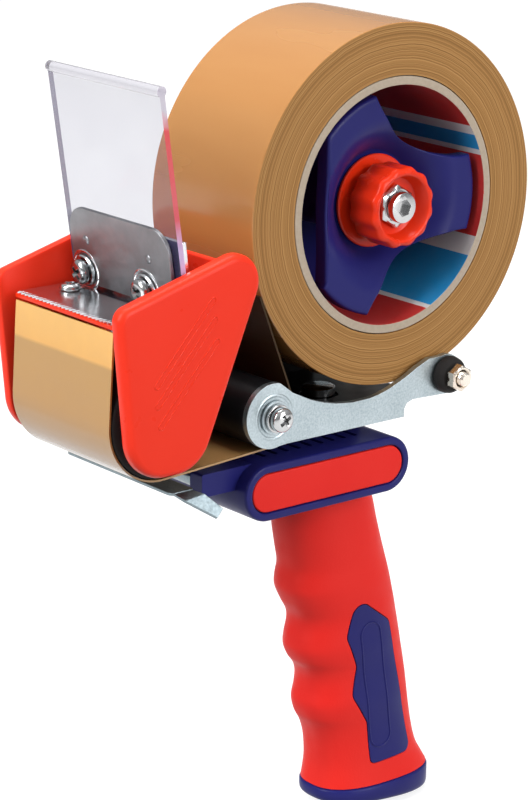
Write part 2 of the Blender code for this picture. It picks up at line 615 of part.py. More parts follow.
half = FILM / 2.0
r_roll = ROLL_OUT + GAP + half
r_guide = GUIDE_R + GAP + half
r_front = FRONT_R + GAP + half
leave, meet = tangent((0.0, 0.0), r_roll, 1.0, GUIDE_AT, r_guide, -1.0)
off_guide, on_front = tangent(GUIDE_AT, r_guide, -1.0, FRONT_AT, r_front, -1.0)
top_end = Vector((-108.8, -24.0))
off_front, top = tangent(FRONT_AT, r_front, -1.0, top_end, 0.0, -1.0)
path = [leave, meet] + wrap(GUIDE_AT, r_guide, meet, off_guide, 12) + [off_guide, on_front]
path += wrap(FRONT_AT, r_front, on_front, off_front, 16) + [off_front, top_end]
outer_side = []
inner_side = []
for i, p in enumerate(path):
    t = (path[min(i + 1, len(path) - 1)] - path[max(i - 1, 0)]).normalized()
    n = Vector((-t.y, t.x))
    outer_side.append(tuple(p + n * half))
    inner_side.append(tuple(p - n * half))
plate("tape_web", outer_side + inner_side[::-1], [], -TAPE_HALF, TAPE_HALF, BROWN)

# Block between the frame and the grip head
saddle = rounded([(-9.8, BASE_FRONT, 1.0), (9.8, BASE_FRONT, 1.0), (9.8, 1.5, 1.0), (-9.8, 1.5, 1.0)], 3)
saddle_holes = [circle(0.0, BOLT_Y, 3.4, 20), circle(0.0, PEG_Y, 2.4, 16)]
head_top = HEAD_MID[1] + HEAD_HIGH / 2.0
head_low = HEAD_MID[1] - HEAD_HIGH / 2.0
plate("frame_saddle", saddle, saddle_holes, head_top + GAP, BASE_LOW - GAP, BLUE, "Z")


def stadium(x, d):
    r = HEAD_HIGH / 2.0 - d
    a = HEAD_LEN / 2.0 - HEAD_HIGH / 2.0
    left = arc(HEAD_MID[0] - a, HEAD_MID[1], r, 270.0, 90.0, 10)
    right = arc(HEAD_MID[0] + a, HEAD_MID[1], r, 90.0, -90.0, 10)
    return [(x, p[0], p[1]) for p in left + right]


head_levels = [(-24.4, 2.7), (-25.6, 2.6), (-26.0, 2.2), (-26.0, 0.6), (-25.4, 0.0)]
head_levels += [(25.4, 0.0), (26.0, 0.6), (26.0, 2.2), (25.6, 2.6), (24.4, 2.7)]
head = loft("grip_head", [stadium(x, d) for x, d in head_levels], BLUE, None, False, 40.0)
lug = rounded([(-72.4, -83.0, 0.8), (-72.4, -75.6, 0.8), (-52.0, -75.6, 0.5), (-52.0, -83.0, 0.5)], 3)
for tag, x0, x1 in (("a", -9.5, -5.5), ("b", 14.5, 20.5)):
    ear = plate("cut_lug_" + tag, lug, [], x0, x1, BLUE)
    apply_cut(head, ear, "UNION")
pin_bore = lathe("cut_pin_bore", [(-10.0, 1.8), (18.8, 1.8)], along_x(*LEVER_AT), RED, None, 16, False)
apply_cut(head, pin_bore, "DIFFERENCE")
slot_verts = []
slot_faces = []
for s in (1.0, -1.0):
    for k in range(SLOTS):
        y = -8.0 - k * SLOT_PITCH
        x0, x1 = sorted((s * 10.5, s * 18.0))
        slot = [(x0, y - 0.8), (x1, y - 0.8), (x1, y + 0.8), (x0, y + 0.8)]
        box_v, box_f = flat_body(slot, [], -77.2, -74.0, "Z")
        slot_faces += [[i + len(slot_verts) for i in face] for face in box_f]
        slot_verts += box_v
slots = add_body("cut_head_slots", slot_verts, slot_faces, RED)
apply_cut(head, slots, "DIFFERENCE")
for tag, y, r in (("bolt", BOLT_Y, 3.4), ("peg", PEG_Y, 2.4)):
    low = -100.0 if tag == "bolt" else -88.0
    drill = lathe("cut_head_" + tag, [(low, r), (-70.0, r)], along_z(0.0, y), RED, None, 20, False)
    apply_cut(head, drill, "DIFFERENCE")
for tag, x0, x1 in (("near", 24.7, 25.8), ("far", -24.7, -25.8)):
    s = 1.0 if x1 > x0 else -1.0
    loops = [stadium(x0, 3.0), stadium(x1 - s * 0.3, 3.0), stadium(x1, 3.3)]
    loft("head_inlay_" + tag, loops, RED, None, False, 40.0)
screw("head_screw", BASE_TOP + GAP, 1.0, along_z(0.0, PEG_Y), 4.0, 2.6, 2.0, 20.0)
bolt_profile = [(-120.0, 2.3), (-119.5, 2.9), (-66.1, 2.9), (-66.1, 5.4), (-62.8, 5.4), (-62.4, 4.8)]
lathe("grip_bolt", bolt_profile, along_z(0.0, BOLT_Y), STEEL, None, 18, False)


def egg(z, front_y, rear_y, half_w, d=0.0, n=28):
    """Rounded oblong section of the grip at one height."""
    mid = (front_y + rear_y) / 2.0
    b = (rear_y - front_y) / 2.0 - d
    a = half_w - d
    out = []
    for i in range(n):
        t = 2.0 * math.pi * i / n
        c = math.cos(t)
        s = math.sin(t)
        e = 2.0 / 2.5
        out.append((a * math.copysign(abs(c) ** e, c), mid + b * math.copysign(abs(s) ** e, s), z))
    return out


tube("grip_collar", -96.6, head_low - GAP, 3.4, 11.6, along_z(0.0, BOLT_Y), BLUE, None, 32)
grip_loops = [egg(*GRIP_RINGS[0], d=1.2)]
grip_loops += [egg(z - (0.9 if i == 0 else 0.0), f, r, w) for i, (z, f, r, w) in enumerate(GRIP_RINGS)]
grip = loft("grip_body", grip_loops, RED, None, False, 50.0)
bore = lathe("cut_grip_bore", [(-121.0, 3.4), (-90.0, 3.4)], along_z(0.0, BOLT_Y), RED, None, 20, False)
apply_cut(grip, bore, "DIFFERENCE")
pad_corners = [(-1.6, -133.6, 4.0), (-5.2, -147.0, 4.0), (-0.6, -158.0, 5.0), (-2.0, -168.5, 4.0)]
pad_corners += [(4.4, -179.0, 6.0), (6.2, -194.4, 1.8), (24.6, -193.8, 2.6), (13.4, -144.8, 4.0)]
pad = rounded(pad_corners, 4)[::-1]
pad_wide = inset(pad, -0.3)
for tag, s in (("near", 1.0), ("far", -1.0)):
    lo = min(s * 10.2, s * 16.0)
    pocket = plate("cut_pocket_" + tag, pad_wide, [], lo, lo + 5.8, RED)
    apply_cut(grip, pocket, "DIFFERENCE")
    lo = min(s * 10.5, s * 16.3)
    insert = plate("grip_pad_" + tag, pad, [], lo, lo + 5.8, BLUE)
    skin = loft("cut_skin_" + tag, [egg(*ring, d=-0.15) for ring in GRIP_RINGS], BLUE, None, False, 50.0)
    apply_cut(insert, skin, "INTERSECT")
base_loops = [egg(-202.3, -9.2, 38.2, 14.5, 0.3), egg(-203.0, -9.6, 38.6, 14.9)]
tilted = []
for drop, d in ((0.0, 0.0), (1.6, 0.5), (2.2, 1.6)):
    loop = egg(-204.8, -9.6, 38.6, 14.9, d)
    tilted.append([(x, y, z - drop - 0.085 * (y + 9.6)) for x, y, z in loop])
loft("grip_base", base_loops + tilted, BLUE, None, False, 40.0)

# Finger lever: brake plate under the front roller, hinge barrel and finger tab
lever_pivot = pivot("finger_lever_pivot", *LEVER_AT)
lever_outline = rounded([(-24.0, -91.9, 2.0), (30.6, -91.9, 2.0), (30.6, -83.3, 1.0), (14.0, -83.3, 1.0),
                         (14.0, -76.6, 1.5), (-3.0, -76.6, 1.5), (-3.0, -83.3, 1.0), (-24.0, -83.3, 2.0)], 3)
lever = plate("finger_lever", lever_outline, [], LEVER_LOW, LEVER_TOP, ZINC, "Z", lever_pivot)
arm_section = [(-77.0, -76.0), (-77.0, -75.0), (-70.5, -76.9), (-69.4, -76.9), (-69.4, -78.2), (-70.6, -78.2)]
arm = plate("cut_lever_arm", arm_section, [], -3.0, 14.0, ZINC, "X", lever_pivot)
apply_cut(lever, arm, "UNION")
barrel = tube("cut_lever_barrel", -3.0, 14.0, 1.8, 3.1, along_x(*LEVER_AT), ZINC, lever_pivot, 20)
apply_cut(lever, barrel, "UNION")
tab_a = [(30.0, -91.0, -75.1), (30.0, -84.2, -75.1), (30.0, -84.2, -75.9), (30.0, -91.0, -75.9)]
tab_b = [(33.6, -89.0, -77.0), (33.6, -81.6, -76.2), (33.4, -81.2, -77.0), (33.2, -88.8, -77.9)]
tab_c = [(38.0, -80.0, -83.0), (38.2, -78.0, -80.4), (37.3, -77.6, -81.0), (37.0, -79.8, -83.8)]
tab = loft("cut_lever_tab", [tab_a, tab_b, tab_c], ZINC, lever_pivot)
apply_cut(lever, tab, "UNION")
pin_profile = [(-9.3, 1.2), (-9.0, 1.5), (18.2, 1.5), (18.5, 1.2)]
lathe("lever_pin", pin_profile, along_x(*LEVER_AT), STEEL, None, 16, False)
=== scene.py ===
import math

import bmesh
import bpy
from mathutils import Matrix, Vector


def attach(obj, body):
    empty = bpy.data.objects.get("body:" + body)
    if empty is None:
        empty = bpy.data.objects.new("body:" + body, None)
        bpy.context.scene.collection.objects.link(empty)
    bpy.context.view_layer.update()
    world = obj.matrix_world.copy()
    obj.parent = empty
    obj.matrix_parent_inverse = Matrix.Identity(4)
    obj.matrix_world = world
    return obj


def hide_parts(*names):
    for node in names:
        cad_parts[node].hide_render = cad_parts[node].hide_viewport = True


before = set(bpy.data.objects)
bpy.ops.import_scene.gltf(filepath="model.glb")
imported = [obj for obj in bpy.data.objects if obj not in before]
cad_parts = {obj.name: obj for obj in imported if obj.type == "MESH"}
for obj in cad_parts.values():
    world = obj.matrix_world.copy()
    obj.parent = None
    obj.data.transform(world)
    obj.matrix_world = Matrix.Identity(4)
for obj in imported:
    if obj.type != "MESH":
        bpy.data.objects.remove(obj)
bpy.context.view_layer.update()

MM = 0.001
PLACE = Vector((-0.5, 27.614, 210.961))     # roll centre seen from the origin of the row frame, mm
GAP = 0.3
GUIDE_AT = (-50.8, -59.0)
REAR_AT = (20.5, -57.0)
FRONT_AT = (-91.5, -53.4)
LEVER_AT = (-67.0, -79.6)
LEAN = math.radians(8.5)
FLAP_FOOT = (-84.7, -21.0)
HEAD_MID = (-25.6, -84.4)
HEAD_LEN = 67.6
HEAD_HIGH = 18.4
BOLT_Y = -8.8
PEG_Y = -34.0
TAPE_HALF = 25.0
CORE_IN = 38.0
CORE_OUT = 40.7
ROLL_IN = 41.0
ROLL_OUT = 57.4
WALL_IN = 26.6
WALL_OUT = 28.6
FLAP_HALF = 28.0
FLAP_TALL = 67.4
ROD_R = 1.65                                # radius of the rod along the flap's top
CLAMP_SCREWS = (("far", -19.3), ("near", 11.5))
BLADE_SCREWS = (("far", -16.5), ("near", 16.5))
BLADE_SCREW_Y = -95.0
GUARD_SCREW_AT = (-79.5, -46.5)
FILM_ON_GUIDE = 10.9                        # radius of the film's middle on the guide roller
FILM_ON_FRONT = 18.9                        # and on the front roller
SLOTS = 9
SLOT_PITCH = 4.7
BASE_LOW = -68.4
HUB_R = 35.6
HUB_DISH = 13.6
HUB_FACE = 23.0


# ---------------------------------------------------------------- materials
class Paint:
    """A Principled material and the small node steps that its pattern is made of."""

    def __init__(self, name, base, rough, metallic=0.0, spec=0.5):
        self.mat = bpy.data.materials.new(name)
        self.mat.use_nodes = True
        self.tree = self.mat.node_tree
        self.bsdf = self.tree.nodes["Principled BSDF"]
        self.set("Base Color", (*base, 1.0))
        self.set("Roughness", rough)
        self.set("Metallic", metallic)
        self.set("Specular IOR Level", spec)
        self.coord = self.tree.nodes.new("ShaderNodeTexCoord").outputs["Object"]

    def set(self, socket, value):
        self.bsdf.inputs[socket].default_value = value

    def link(self, out, into):
        self.tree.links.new(out, into)

    def node(self, kind, **props):
        n = self.tree.nodes.new(kind)
        for k, v in props.items():
            setattr(n, k, v)
        return n

    def math(self, op, a, b=None):
        n = self.node("ShaderNodeMath", operation=op)
        for i, v in enumerate((a, b)):
            if v is None:
                continue
            if isinstance(v, (int, float)):
                n.inputs[i].default_value = v
            else:
                self.link(v, n.inputs[i])
        return n.outputs[0]

    def stretch(self, scale):
        n = self.node("ShaderNodeMapping")
        n.inputs["Scale"].default_value = scale
        self.link(self.coord, n.inputs["Vector"])
        return n.outputs[0]

    def noise(self, scale, detail=3.0, vector=None, rough=0.55):
        n = self.node("ShaderNodeTexNoise")
        n.inputs["Scale"].default_value = scale
        n.inputs["Detail"].default_value = detail
        n.inputs["Roughness"].default_value = rough
        self.link(vector or self.coord, n.inputs["Vector"])
        return n.outputs["Fac"]

    def noise_1d(self, w, scale, detail=3.0):
        n = self.node("ShaderNodeTexNoise", noise_dimensions="1D")
        n.inputs["Scale"].default_value = scale
        n.inputs["Detail"].default_value = detail
        self.link(w, n.inputs["W"])
        return n.outputs["Fac"]

    def ramp(self, fac, stops, kind="LINEAR"):
        n = self.node("ShaderNodeValToRGB")
        n.color_ramp.interpolation = kind
        while len(n.color_ramp.elements) > 1:
            n.color_ramp.elements.remove(n.color_ramp.elements[-1])
        n.color_ramp.elements[0].position = stops[0][0]
        n.color_ramp.elements[0].color = (*stops[0][1], 1.0)
        for pos, col in stops[1:]:
            n.color_ramp.elements.new(pos).color = (*col, 1.0)
        self.link(fac, n.inputs["Fac"])
        return n.outputs["Color"]

    def mix(self, fac, a, b, mode="MIX"):
        n = self.node("ShaderNodeMix", data_type="RGBA", blend_type=mode)
        for idx, v in ((0, fac), (6, a), (7, b)):
            if isinstance(v, (int, float)):
                n.inputs[idx].default_value = v
            elif isinstance(v, tuple):
                n.inputs[idx].default_value = (*v, 1.0)
            else:
                self.link(v, n.inputs[idx])
        return n.outputs[2]

    def bump(self, height, strength, distance):
        n = self.node("ShaderNodeBump")
        n.inputs["Strength"].default_value = strength
        n.inputs["Distance"].default_value = distance
        self.link(height, n.inputs["Height"])
        self.link(n.outputs[0], self.bsdf.inputs["Normal"])

    def rough(self, fac, lo, hi):
        n = self.node("ShaderNodeMapRange")
        n.inputs["From Min"].default_value = 0.3
        n.inputs["From Max"].default_value = 0.7
        n.inputs["To Min"].default_value = lo
        n.inputs["To Max"].default_value = hi
        self.link(fac, n.inputs["Value"])
        self.link(n.outputs[0], self.bsdf.inputs["Roughness"])

    def color(self, out):
        self.link(out, self.bsdf.inputs["Base Color"])

    def around_roll(self):
        """Radius in metres and angle in degrees about the roll's axis."""
        s = self.node("ShaderNodeSeparateXYZ")
        self.link(self.coord, s.inputs[0])
        y = self.math("SUBTRACT", s.outputs[1], PLACE.y * MM)
        z = self.math("SUBTRACT", s.outputs[2], PLACE.z * MM)
        r = self.math("SQRT", self.math("ADD", self.math("MULTIPLY", y, y), self.math("MULTIPLY", z, z)))
        deg = self.math("MULTIPLY", self.math("ARCTAN2", z, y), 180.0 / math.pi)
        return r, deg


def plastic(name, base, light, rough, grain, strength, depth, spec=0.15):
    p = Paint(name, base, rough, 0.0, spec)
    tone = p.noise(38.0, 4.0)
    p.color(p.mix(p.math("MULTIPLY", tone, 0.5), base, light))
    fine = p.noise(grain, 2.0)
    p.rough(p.noise(120.0, 3.0), rough - 0.06, rough + 0.08)
    p.bump(fine, strength, depth)
    return p.mat


def metal(name, base, tint, lo, hi, lines, strength=0.12, spangle=0.0):
    """Plated or turned metal: brushed gloss, and a share of fine spangle in its tone."""
    p = Paint(name, base, lo, 1.0)
    cloud = p.math("ADD", p.math("MULTIPLY", p.noise(60.0, 4.0), 1.0 - spangle),
                   p.math("MULTIPLY", p.noise(1500.0, 2.0), spangle))
    p.color(p.ramp(cloud, [(0.34, base), (0.66, tint)]))
    brushed = p.noise(1.0, 3.0, p.stretch(lines))
    p.rough(brushed, lo, hi)
    p.bump(brushed, strength, 0.00004)
    return p.mat


RED = plastic("moulded_red", (0.86, 0.030, 0.010), (0.92, 0.050, 0.018), 0.33, 900.0, 0.10, 0.0001)
RED_GRIP = plastic("grained_red", (0.77, 0.014, 0.010), (0.85, 0.034, 0.020), 0.46, 1700.0, 0.30, 0.0002)
RED_GLOSS = plastic("glossy_red", (0.78, 0.026, 0.005), (0.84, 0.048, 0.009), 0.20, 700.0, 0.05, 0.0001, 0.2)
BLUE = plastic("moulded_blue", (0.012, 0.012, 0.115), (0.021, 0.022, 0.170), 0.34, 900.0, 0.14, 0.0001)
BLACK = plastic("moulded_black", (0.006, 0.006, 0.007), (0.013, 0.013, 0.014), 0.36, 900.0, 0.10, 0.0001)
RUBBER = plastic("black_rubber_grain", (0.012, 0.011, 0.011), (0.030, 0.027, 0.026), 0.62, 1300.0, 0.45, 0.0002)
ZINC = metal("zinc_plate", (0.30, 0.355, 0.38), (0.46, 0.52, 0.545), 0.32, 0.48, (220.0, 2200.0, 2200.0), 0.08, 0.6)
LEVER_ZINC = metal("lever_plate", (0.16, 0.20, 0.22), (0.27, 0.32, 0.34), 0.28, 0.44, (900.0, 900.0, 900.0),
                   0.08, 0.4)
SATIN = metal("satin_plate", (0.20, 0.20, 0.21), (0.29, 0.295, 0.31), 0.36, 0.50, (300.0, 900.0, 300.0), 0.05)
POLISHED = metal("polished_plate", (0.56, 0.58, 0.60), (0.70, 0.71, 0.73), 0.16, 0.26, (300.0, 900.0, 300.0), 0.006)
STEEL = metal("bright_fastener", (0.42, 0.43, 0.44), (0.56, 0.56, 0.56), 0.12, 0.24, (1500.0, 700.0, 700.0), 0.06)
COPPERY = metal("warm_fastener", (0.66, 0.52, 0.42), (0.76, 0.70, 0.62), 0.16, 0.30, (1500.0, 700.0, 700.0), 0.06)


def film_with_painted_light():
    """Glossy brown film with painted light: its upper part is painted bright yellow, a painted light for light
    shining through where nothing is behind it; lower down, over the black roller, it stays a darker brown.
    """
    p = Paint("glossy_film_painted_light", (0.40, 0.22, 0.085), 0.16)
    s = p.node("ShaderNodeSeparateXYZ")
    p.link(p.coord, s.inputs[0])
    height = p.math("ADD", s.outputs[2], p.math("MULTIPLY", p.noise(30.0), 0.0008))
    at = p.math("MULTIPLY", p.math("SUBTRACT", height, 0.13), 1.0 / 0.06)
    # Painted light: the top of this ramp, above the step, is the bright yellow band painted on the film's upper
    # part.
    base = p.ramp(at, [(0.0, (0.44, 0.25, 0.10)), (0.40, (0.45, 0.245, 0.080)), (0.43, (0.44, 0.225, 0.055)),
                       (0.765, (0.47, 0.25, 0.058)), (0.785, (0.78, 0.40, 0.080)), (1.0, (0.84, 0.47, 0.115))])
    p.color(p.mix(p.math("MULTIPLY", p.noise(90.0, 4.0), 0.25), base, (0.30, 0.16, 0.07)))
    p.rough(p.noise(1.0, 2.0, p.stretch((40.0, 500.0, 500.0))), 0.12, 0.26)
    p.bump(p.noise(1.0, 2.0, p.stretch((25.0, 260.0, 260.0))), 0.10, 0.0002)
    p.set("Coat Weight", 0.3)
    p.set("Coat Roughness", 0.08)
    return p.mat


def wound_outside():
    p = Paint("roll_outside", (0.36, 0.20, 0.075), 0.22)
    tone = p.noise(1.0, 3.0, p.stretch((9.0, 40.0, 40.0)))
    p.color(p.mix(tone, (0.39, 0.165, 0.042), (0.47, 0.225, 0.068)))
    p.rough(tone, 0.20, 0.32)
    p.bump(p.noise(1.0, 3.0, p.stretch((20.0, 180.0, 180.0))), 0.10, 0.0003)
    p.set("Coat Weight", 0.35)
    p.set("Coat Roughness", 0.14)
    return p.mat


def wound_side():
    """The edge of the wound film: fine uneven rings round the axis."""
    p = Paint("roll_side", (0.48, 0.32, 0.19), 0.55, 0.0, 0.12)
    r, _ = p.around_roll()
    wavy = p.math("ADD", r, p.math("MULTIPLY", p.noise(110.0, 3.0), 0.0010))
    rings = p.noise_1d(wavy, 2600.0, 4.0)
    broad = p.noise_1d(r, 420.0, 2.0)
    both = p.math("ADD", p.math("MULTIPLY", rings, 0.75), p.math("MULTIPLY", broad, 0.25))
    p.color(p.ramp(both, [(0.36, (0.21, 0.100, 0.028)), (0.50, (0.36, 0.180, 0.055)),
                          (0.66, (0.47, 0.255, 0.088))]))
    p.bump(both, 0.35, 0.0003)
    return p.mat


def card(name, dark, light):
    p = Paint(name, dark, 0.85, 0.0, 0.2)
    r, _ = p.around_roll()
    layers = p.math("ADD", p.math("MULTIPLY", p.noise_1d(r, 3000.0), 0.5), p.math("MULTIPLY", p.noise(700.0), 0.5))
    p.color(p.mix(layers, dark, light))
    p.bump(layers, 0.3, 0.0003)
    return p.mat


def core_print():
    """Plain bands of colour that run along the inside of the core."""
    p = Paint("core_bands", (0.8, 0.8, 0.8), 0.42)
    _, deg = p.around_roll()
    red = (0.62, 0.020, 0.015)
    white = (0.82, 0.82, 0.80)
    blue = (0.004, 0.30, 0.68)
    bands = ((-180.0, red), (-68.0, white), (-65.0, blue), (-32.4, white), (-23.2, red), (17.5, white),
             (20.2, blue), (28.6, white), (34.3, red))
    fac = p.math("DIVIDE", p.math("ADD", deg, 180.0), 360.0)
    flat = p.ramp(fac, [((a + 180.0) / 360.0, c) for a, c in bands], "CONSTANT")
    p.color(p.mix(p.math("MULTIPLY", p.noise(260.0, 4.0), 0.10), flat, (0.45, 0.40, 0.36)))
    p.bump(p.noise(600.0, 3.0), 0.12, 0.0002)
    return p.mat


def clear(name, tint, cover):
    """Thin see-through sheet: mostly transparent, with its own gloss and faint haze."""
    p = Paint(name, tint, 0.05)
    haze = p.node("ShaderNodeMapRange")
    haze.inputs["To Min"].default_value = cover * 0.85
    haze.inputs["To Max"].default_value = cover * 1.15
    p.link(p.noise(45.0, 4.0), haze.inputs["Value"])
    p.link(haze.outputs[0], p.bsdf.inputs["Alpha"])
    p.rough(p.noise(60.0), 0.03, 0.10)
    p.bump(p.noise(35.0, 3.0), 0.05, 0.0002)
    return p.mat


def film_in_painted_shade():
    """The same film painted almost black: painted shade where it runs with only the dark inside of the channel
    behind it.
    """
    p = Paint("film_painted_shade_dark", (0.045, 0.024, 0.010), 0.4, 0.0, 0.1)
    p.color(p.mix(p.noise(60.0, 3.0), (0.035, 0.019, 0.008), (0.060, 0.034, 0.015)))
    p.rough(p.noise(1.0, 2.0, p.stretch((40.0, 500.0, 500.0))), 0.34, 0.46)
    return p.mat


FILM = film_with_painted_light()
FILM_PAINTED_SHADE = film_in_painted_shade()
OUTSIDE = wound_outside()
SIDE = wound_side()
CARD = card("wound_card", (0.34, 0.27, 0.20), (0.56, 0.47, 0.37))
PRINT = core_print()
def rod_material():
    """Solid clear rod that bends what is behind it into light and dark bands."""
    p = Paint("clear_rod", (0.72, 0.71, 0.76), 0.04)
    p.set("Transmission Weight", 1.0)
    p.set("IOR", 1.49)
    p.rough(p.noise(80.0), 0.02, 0.07)
    return p.mat


def sheet_edge_painted_reflection():
    """Cut edges of the sheet: the far one is grey; the near one is painted red, a painted reflection of the red
    cheek beside it, then lavender lower down, the sheet's own tint.
    """
    p = Paint("sheet_edge_with_painted_reflection", (0.6, 0.3, 0.5), 0.12)
    s = p.node("ShaderNodeSeparateXYZ")
    p.link(p.coord, s.inputs[0])
    at = p.math("MULTIPLY", p.math("SUBTRACT", s.outputs[2], 0.19), 1.0 / 0.065)
    wavy = p.math("ADD", at, p.math("MULTIPLY", p.noise(160.0, 3.0), 0.12))
    tint = p.ramp(wavy, [(0.0, (0.50, 0.42, 0.72)), (0.36, (0.62, 0.50, 0.80)), (0.50, (0.72, 0.08, 0.13)),
                         (0.92, (0.78, 0.04, 0.08)), (1.0, (0.55, 0.50, 0.60))])
    near = p.math("GREATER_THAN", s.outputs[0], 0.0)
    p.color(p.mix(near, (0.24, 0.23, 0.29), tint))
    p.set("Alpha", 0.82)
    return p.mat


CLEAR = clear("clear_sheet", (0.14, 0.13, 0.30), 0.16)
EDGE_PAINTED_REFLECTION = sheet_edge_painted_reflection()
ROD = rod_material()


# ---------------------------------------------------------------- shapes
def add(name, verts, faces, mat, node=None, body="frame", slot=None, sharp=35.0, bevel=0.0, segs=3, pick=None):
    """A piece from vertices in millimetres; it stands for its CAD node and rides on its body."""
    mesh = bpy.data.meshes.new(name)
    mesh.from_pydata([tuple((Vector(v) + PLACE) * MM) for v in verts], [], faces)
    bm = bmesh.new()
    bm.from_mesh(mesh)
    bmesh.ops.remove_doubles(bm, verts=bm.verts, dist=1e-7)
    bmesh.ops.recalc_face_normals(bm, faces=bm.faces)
    if bevel > 0.0:
        bmesh.ops.dissolve_limit(bm, angle_limit=math.radians(0.5), verts=bm.verts, edges=bm.edges)
    bm.to_mesh(mesh)
    bm.free()
    mats = mat if isinstance(mat, list) else [mat]
    for m in mats:
        mesh.materials.append(m)
    for poly in mesh.polygons:
        poly.use_smooth = True
        if pick:
            poly.material_index = pick(poly.normal, (poly.center / MM) - PLACE)
    mesh.set_sharp_from_angle(angle=math.radians(sharp))
    ob = bpy.data.objects.new(name, mesh)
    bpy.context.scene.collection.objects.link(ob)
    if bevel > 0.0:
        soften(ob, bevel, segs, 32.0)
    if body:
        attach(ob, body)
    if node:
        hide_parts(*([node] if isinstance(node, str) else node))
    return ob


def freeze(ob):
    """Apply every modifier of a piece."""
    graph = bpy.context.evaluated_depsgraph_get()
    mesh = bpy.data.meshes.new_from_object(ob.evaluated_get(graph))
    ob.modifiers.clear()
    ob.data = mesh


def carve(ob, cutter, mode="DIFFERENCE"):
    mod = ob.modifiers.new("cut", "BOOLEAN")
    mod.operation = mode
    mod.object = cutter
    mod.solver = "EXACT"
    freeze(ob)
    bpy.data.objects.remove(cutter)
    for poly in ob.data.polygons:
        poly.use_smooth = True
    ob.data.set_sharp_from_angle(angle=math.radians(32.0))


def soften(ob, width, segs=2, limit=40.0):
    mod = ob.modifiers.new("soft_edges", "BEVEL")
    mod.width = width * MM
    mod.segments = segs
    mod.limit_method = "ANGLE"
    mod.angle_limit = math.radians(limit)
    mod.harden_normals = True


def along_x(y, z):
    return Matrix.Translation((0.0, y, z))


def along_z(x, y):
    return Matrix.Translation((x, y, 0.0)) @ Matrix.Rotation(-math.pi / 2.0, 4, "Y")


def on_flap(x, up):
    foot = Matrix.Translation((x, FLAP_FOOT[0], FLAP_FOOT[1]))
    turn = Matrix.Rotation(-math.pi / 2.0, 4, "Z")
    return foot @ Matrix.Rotation(LEAN, 4, "X") @ Matrix.Translation((0.0, 0.0, up)) @ turn


def flap_point(ahead, up):
    """(y, z) of a point ahead of the flap's front face and up along it."""
    y = FLAP_FOOT[0] - ahead * math.cos(LEAN) - up * math.sin(LEAN)
    return (y, FLAP_FOOT[1] - ahead * math.sin(LEAN) + up * math.cos(LEAN))


def arc(cy, cz, r, a0, a1, n):
    return [(cy + r * math.cos(math.radians(a0 + (a1 - a0) * i / n)),
             cz + r * math.sin(math.radians(a0 + (a1 - a0) * i / n))) for i in range(n + 1)]


def circle(cy, cz, r, n=48):
    return arc(cy, cz, r, 0.0, 360.0 - 360.0 / n, n - 1)


def rounded(corners, n=14):
    """Closed outline with a fillet at each corner; corners are (a, b, radius)."""
    out = []
    for i, (px, py, r) in enumerate(corners):
        p = Vector((px, py))
        a = Vector(corners[i - 1][:2]) - p
        b = Vector(corners[(i + 1) % len(corners)][:2]) - p
        half = a.angle(b) / 2.0
        back = min(r / math.tan(half), 0.49 * a.length, 0.49 * b.length)
        r = back * math.tan(half)
        mid = p + (a.normalized() + b.normalized()).normalized() * (r / math.sin(half))
        start = p + a.normalized() * back - mid
        end = p + b.normalized() * back - mid
        t0 = math.atan2(start.y, start.x)
        sweep = (math.atan2(end.y, end.x) - t0 + math.pi) % (2.0 * math.pi) - math.pi
        out += [(mid.x + r * math.cos(t0 + sweep * k / n), mid.y + r * math.sin(t0 + sweep * k / n))
                for k in range(n + 1)]
    return out


def inset(outline, d):
    n = len(outline)
    mid = Vector((sum(p[0] for p in outline) / n, sum(p[1] for p in outline) / n))
    out = []
    for i in range(n):
        t = (Vector(outline[(i + 1) % n]) - Vector(outline[i - 1])).normalized()
        nrm = Vector((-t.y, t.x))
        if nrm.dot(mid - Vector(outline[i])) < 0.0:
            nrm = -nrm
        out.append((outline[i][0] + nrm.x * d, outline[i][1] + nrm.y * d))
    return out


def flat_body(outer, holes, lo, hi, axis="X"):
    """Flat plate between lo and hi along an axis, with holes."""
    bm = bmesh.new()
    edges = []
    rings = []
    for ring in [outer] + holes:
        vs = [bm.verts.new((p[0], p[1], 0.0)) for p in ring]
        rings.append(vs)
        edges += [bm.edges.new((vs[i], vs[(i + 1) % len(vs)])) for i in range(len(vs))]
    bmesh.ops.triangle_fill(bm, edges=edges, use_beauty=True)
    bm.verts.index_update()
    flat = [v.co.copy() for v in bm.verts]
    tris = [[v.index for v in f.verts] for f in bm.faces]
    loops = [[v.index for v in vs] for vs in rings]
    bm.free()
    n = len(flat)
    put = {"X": lambda c, h: (h, c.x, c.y), "Z": lambda c, h: (c.x, c.y, h), "Y": lambda c, h: (c.x, h, c.y)}
    verts = [put[axis](c, h) for h in (lo, hi) for c in flat]
    faces = tris + [[i + n for i in reversed(t)] for t in tris]
    for loop in loops:
        for i in range(len(loop)):
            a, b = loop[i], loop[(i + 1) % len(loop)]
            faces.append([a, b, b + n, a + n])
    return verts, faces


def join(*shapes):
    verts, faces = [], []
    for v, f in shapes:
        faces += [[i + len(verts) for i in face] for face in f]
        verts += list(v)
    return verts, faces


def skin(loops, closed=False):
    """Skin through loops of equal length; the ends are capped unless closed."""
    n, count = len(loops[0]), len(loops)
    verts = [p for loop in loops for p in loop]
    faces = []
    for k in range(count if closed else count - 1):
        a, b = k * n, ((k + 1) % count) * n
        faces += [[a + i, a + (i + 1) % n, b + (i + 1) % n, b + i] for i in range(n)]
    if not closed:
        faces += [list(range(n)), [(count - 1) * n + i for i in reversed(range(n))]]
    return verts, faces


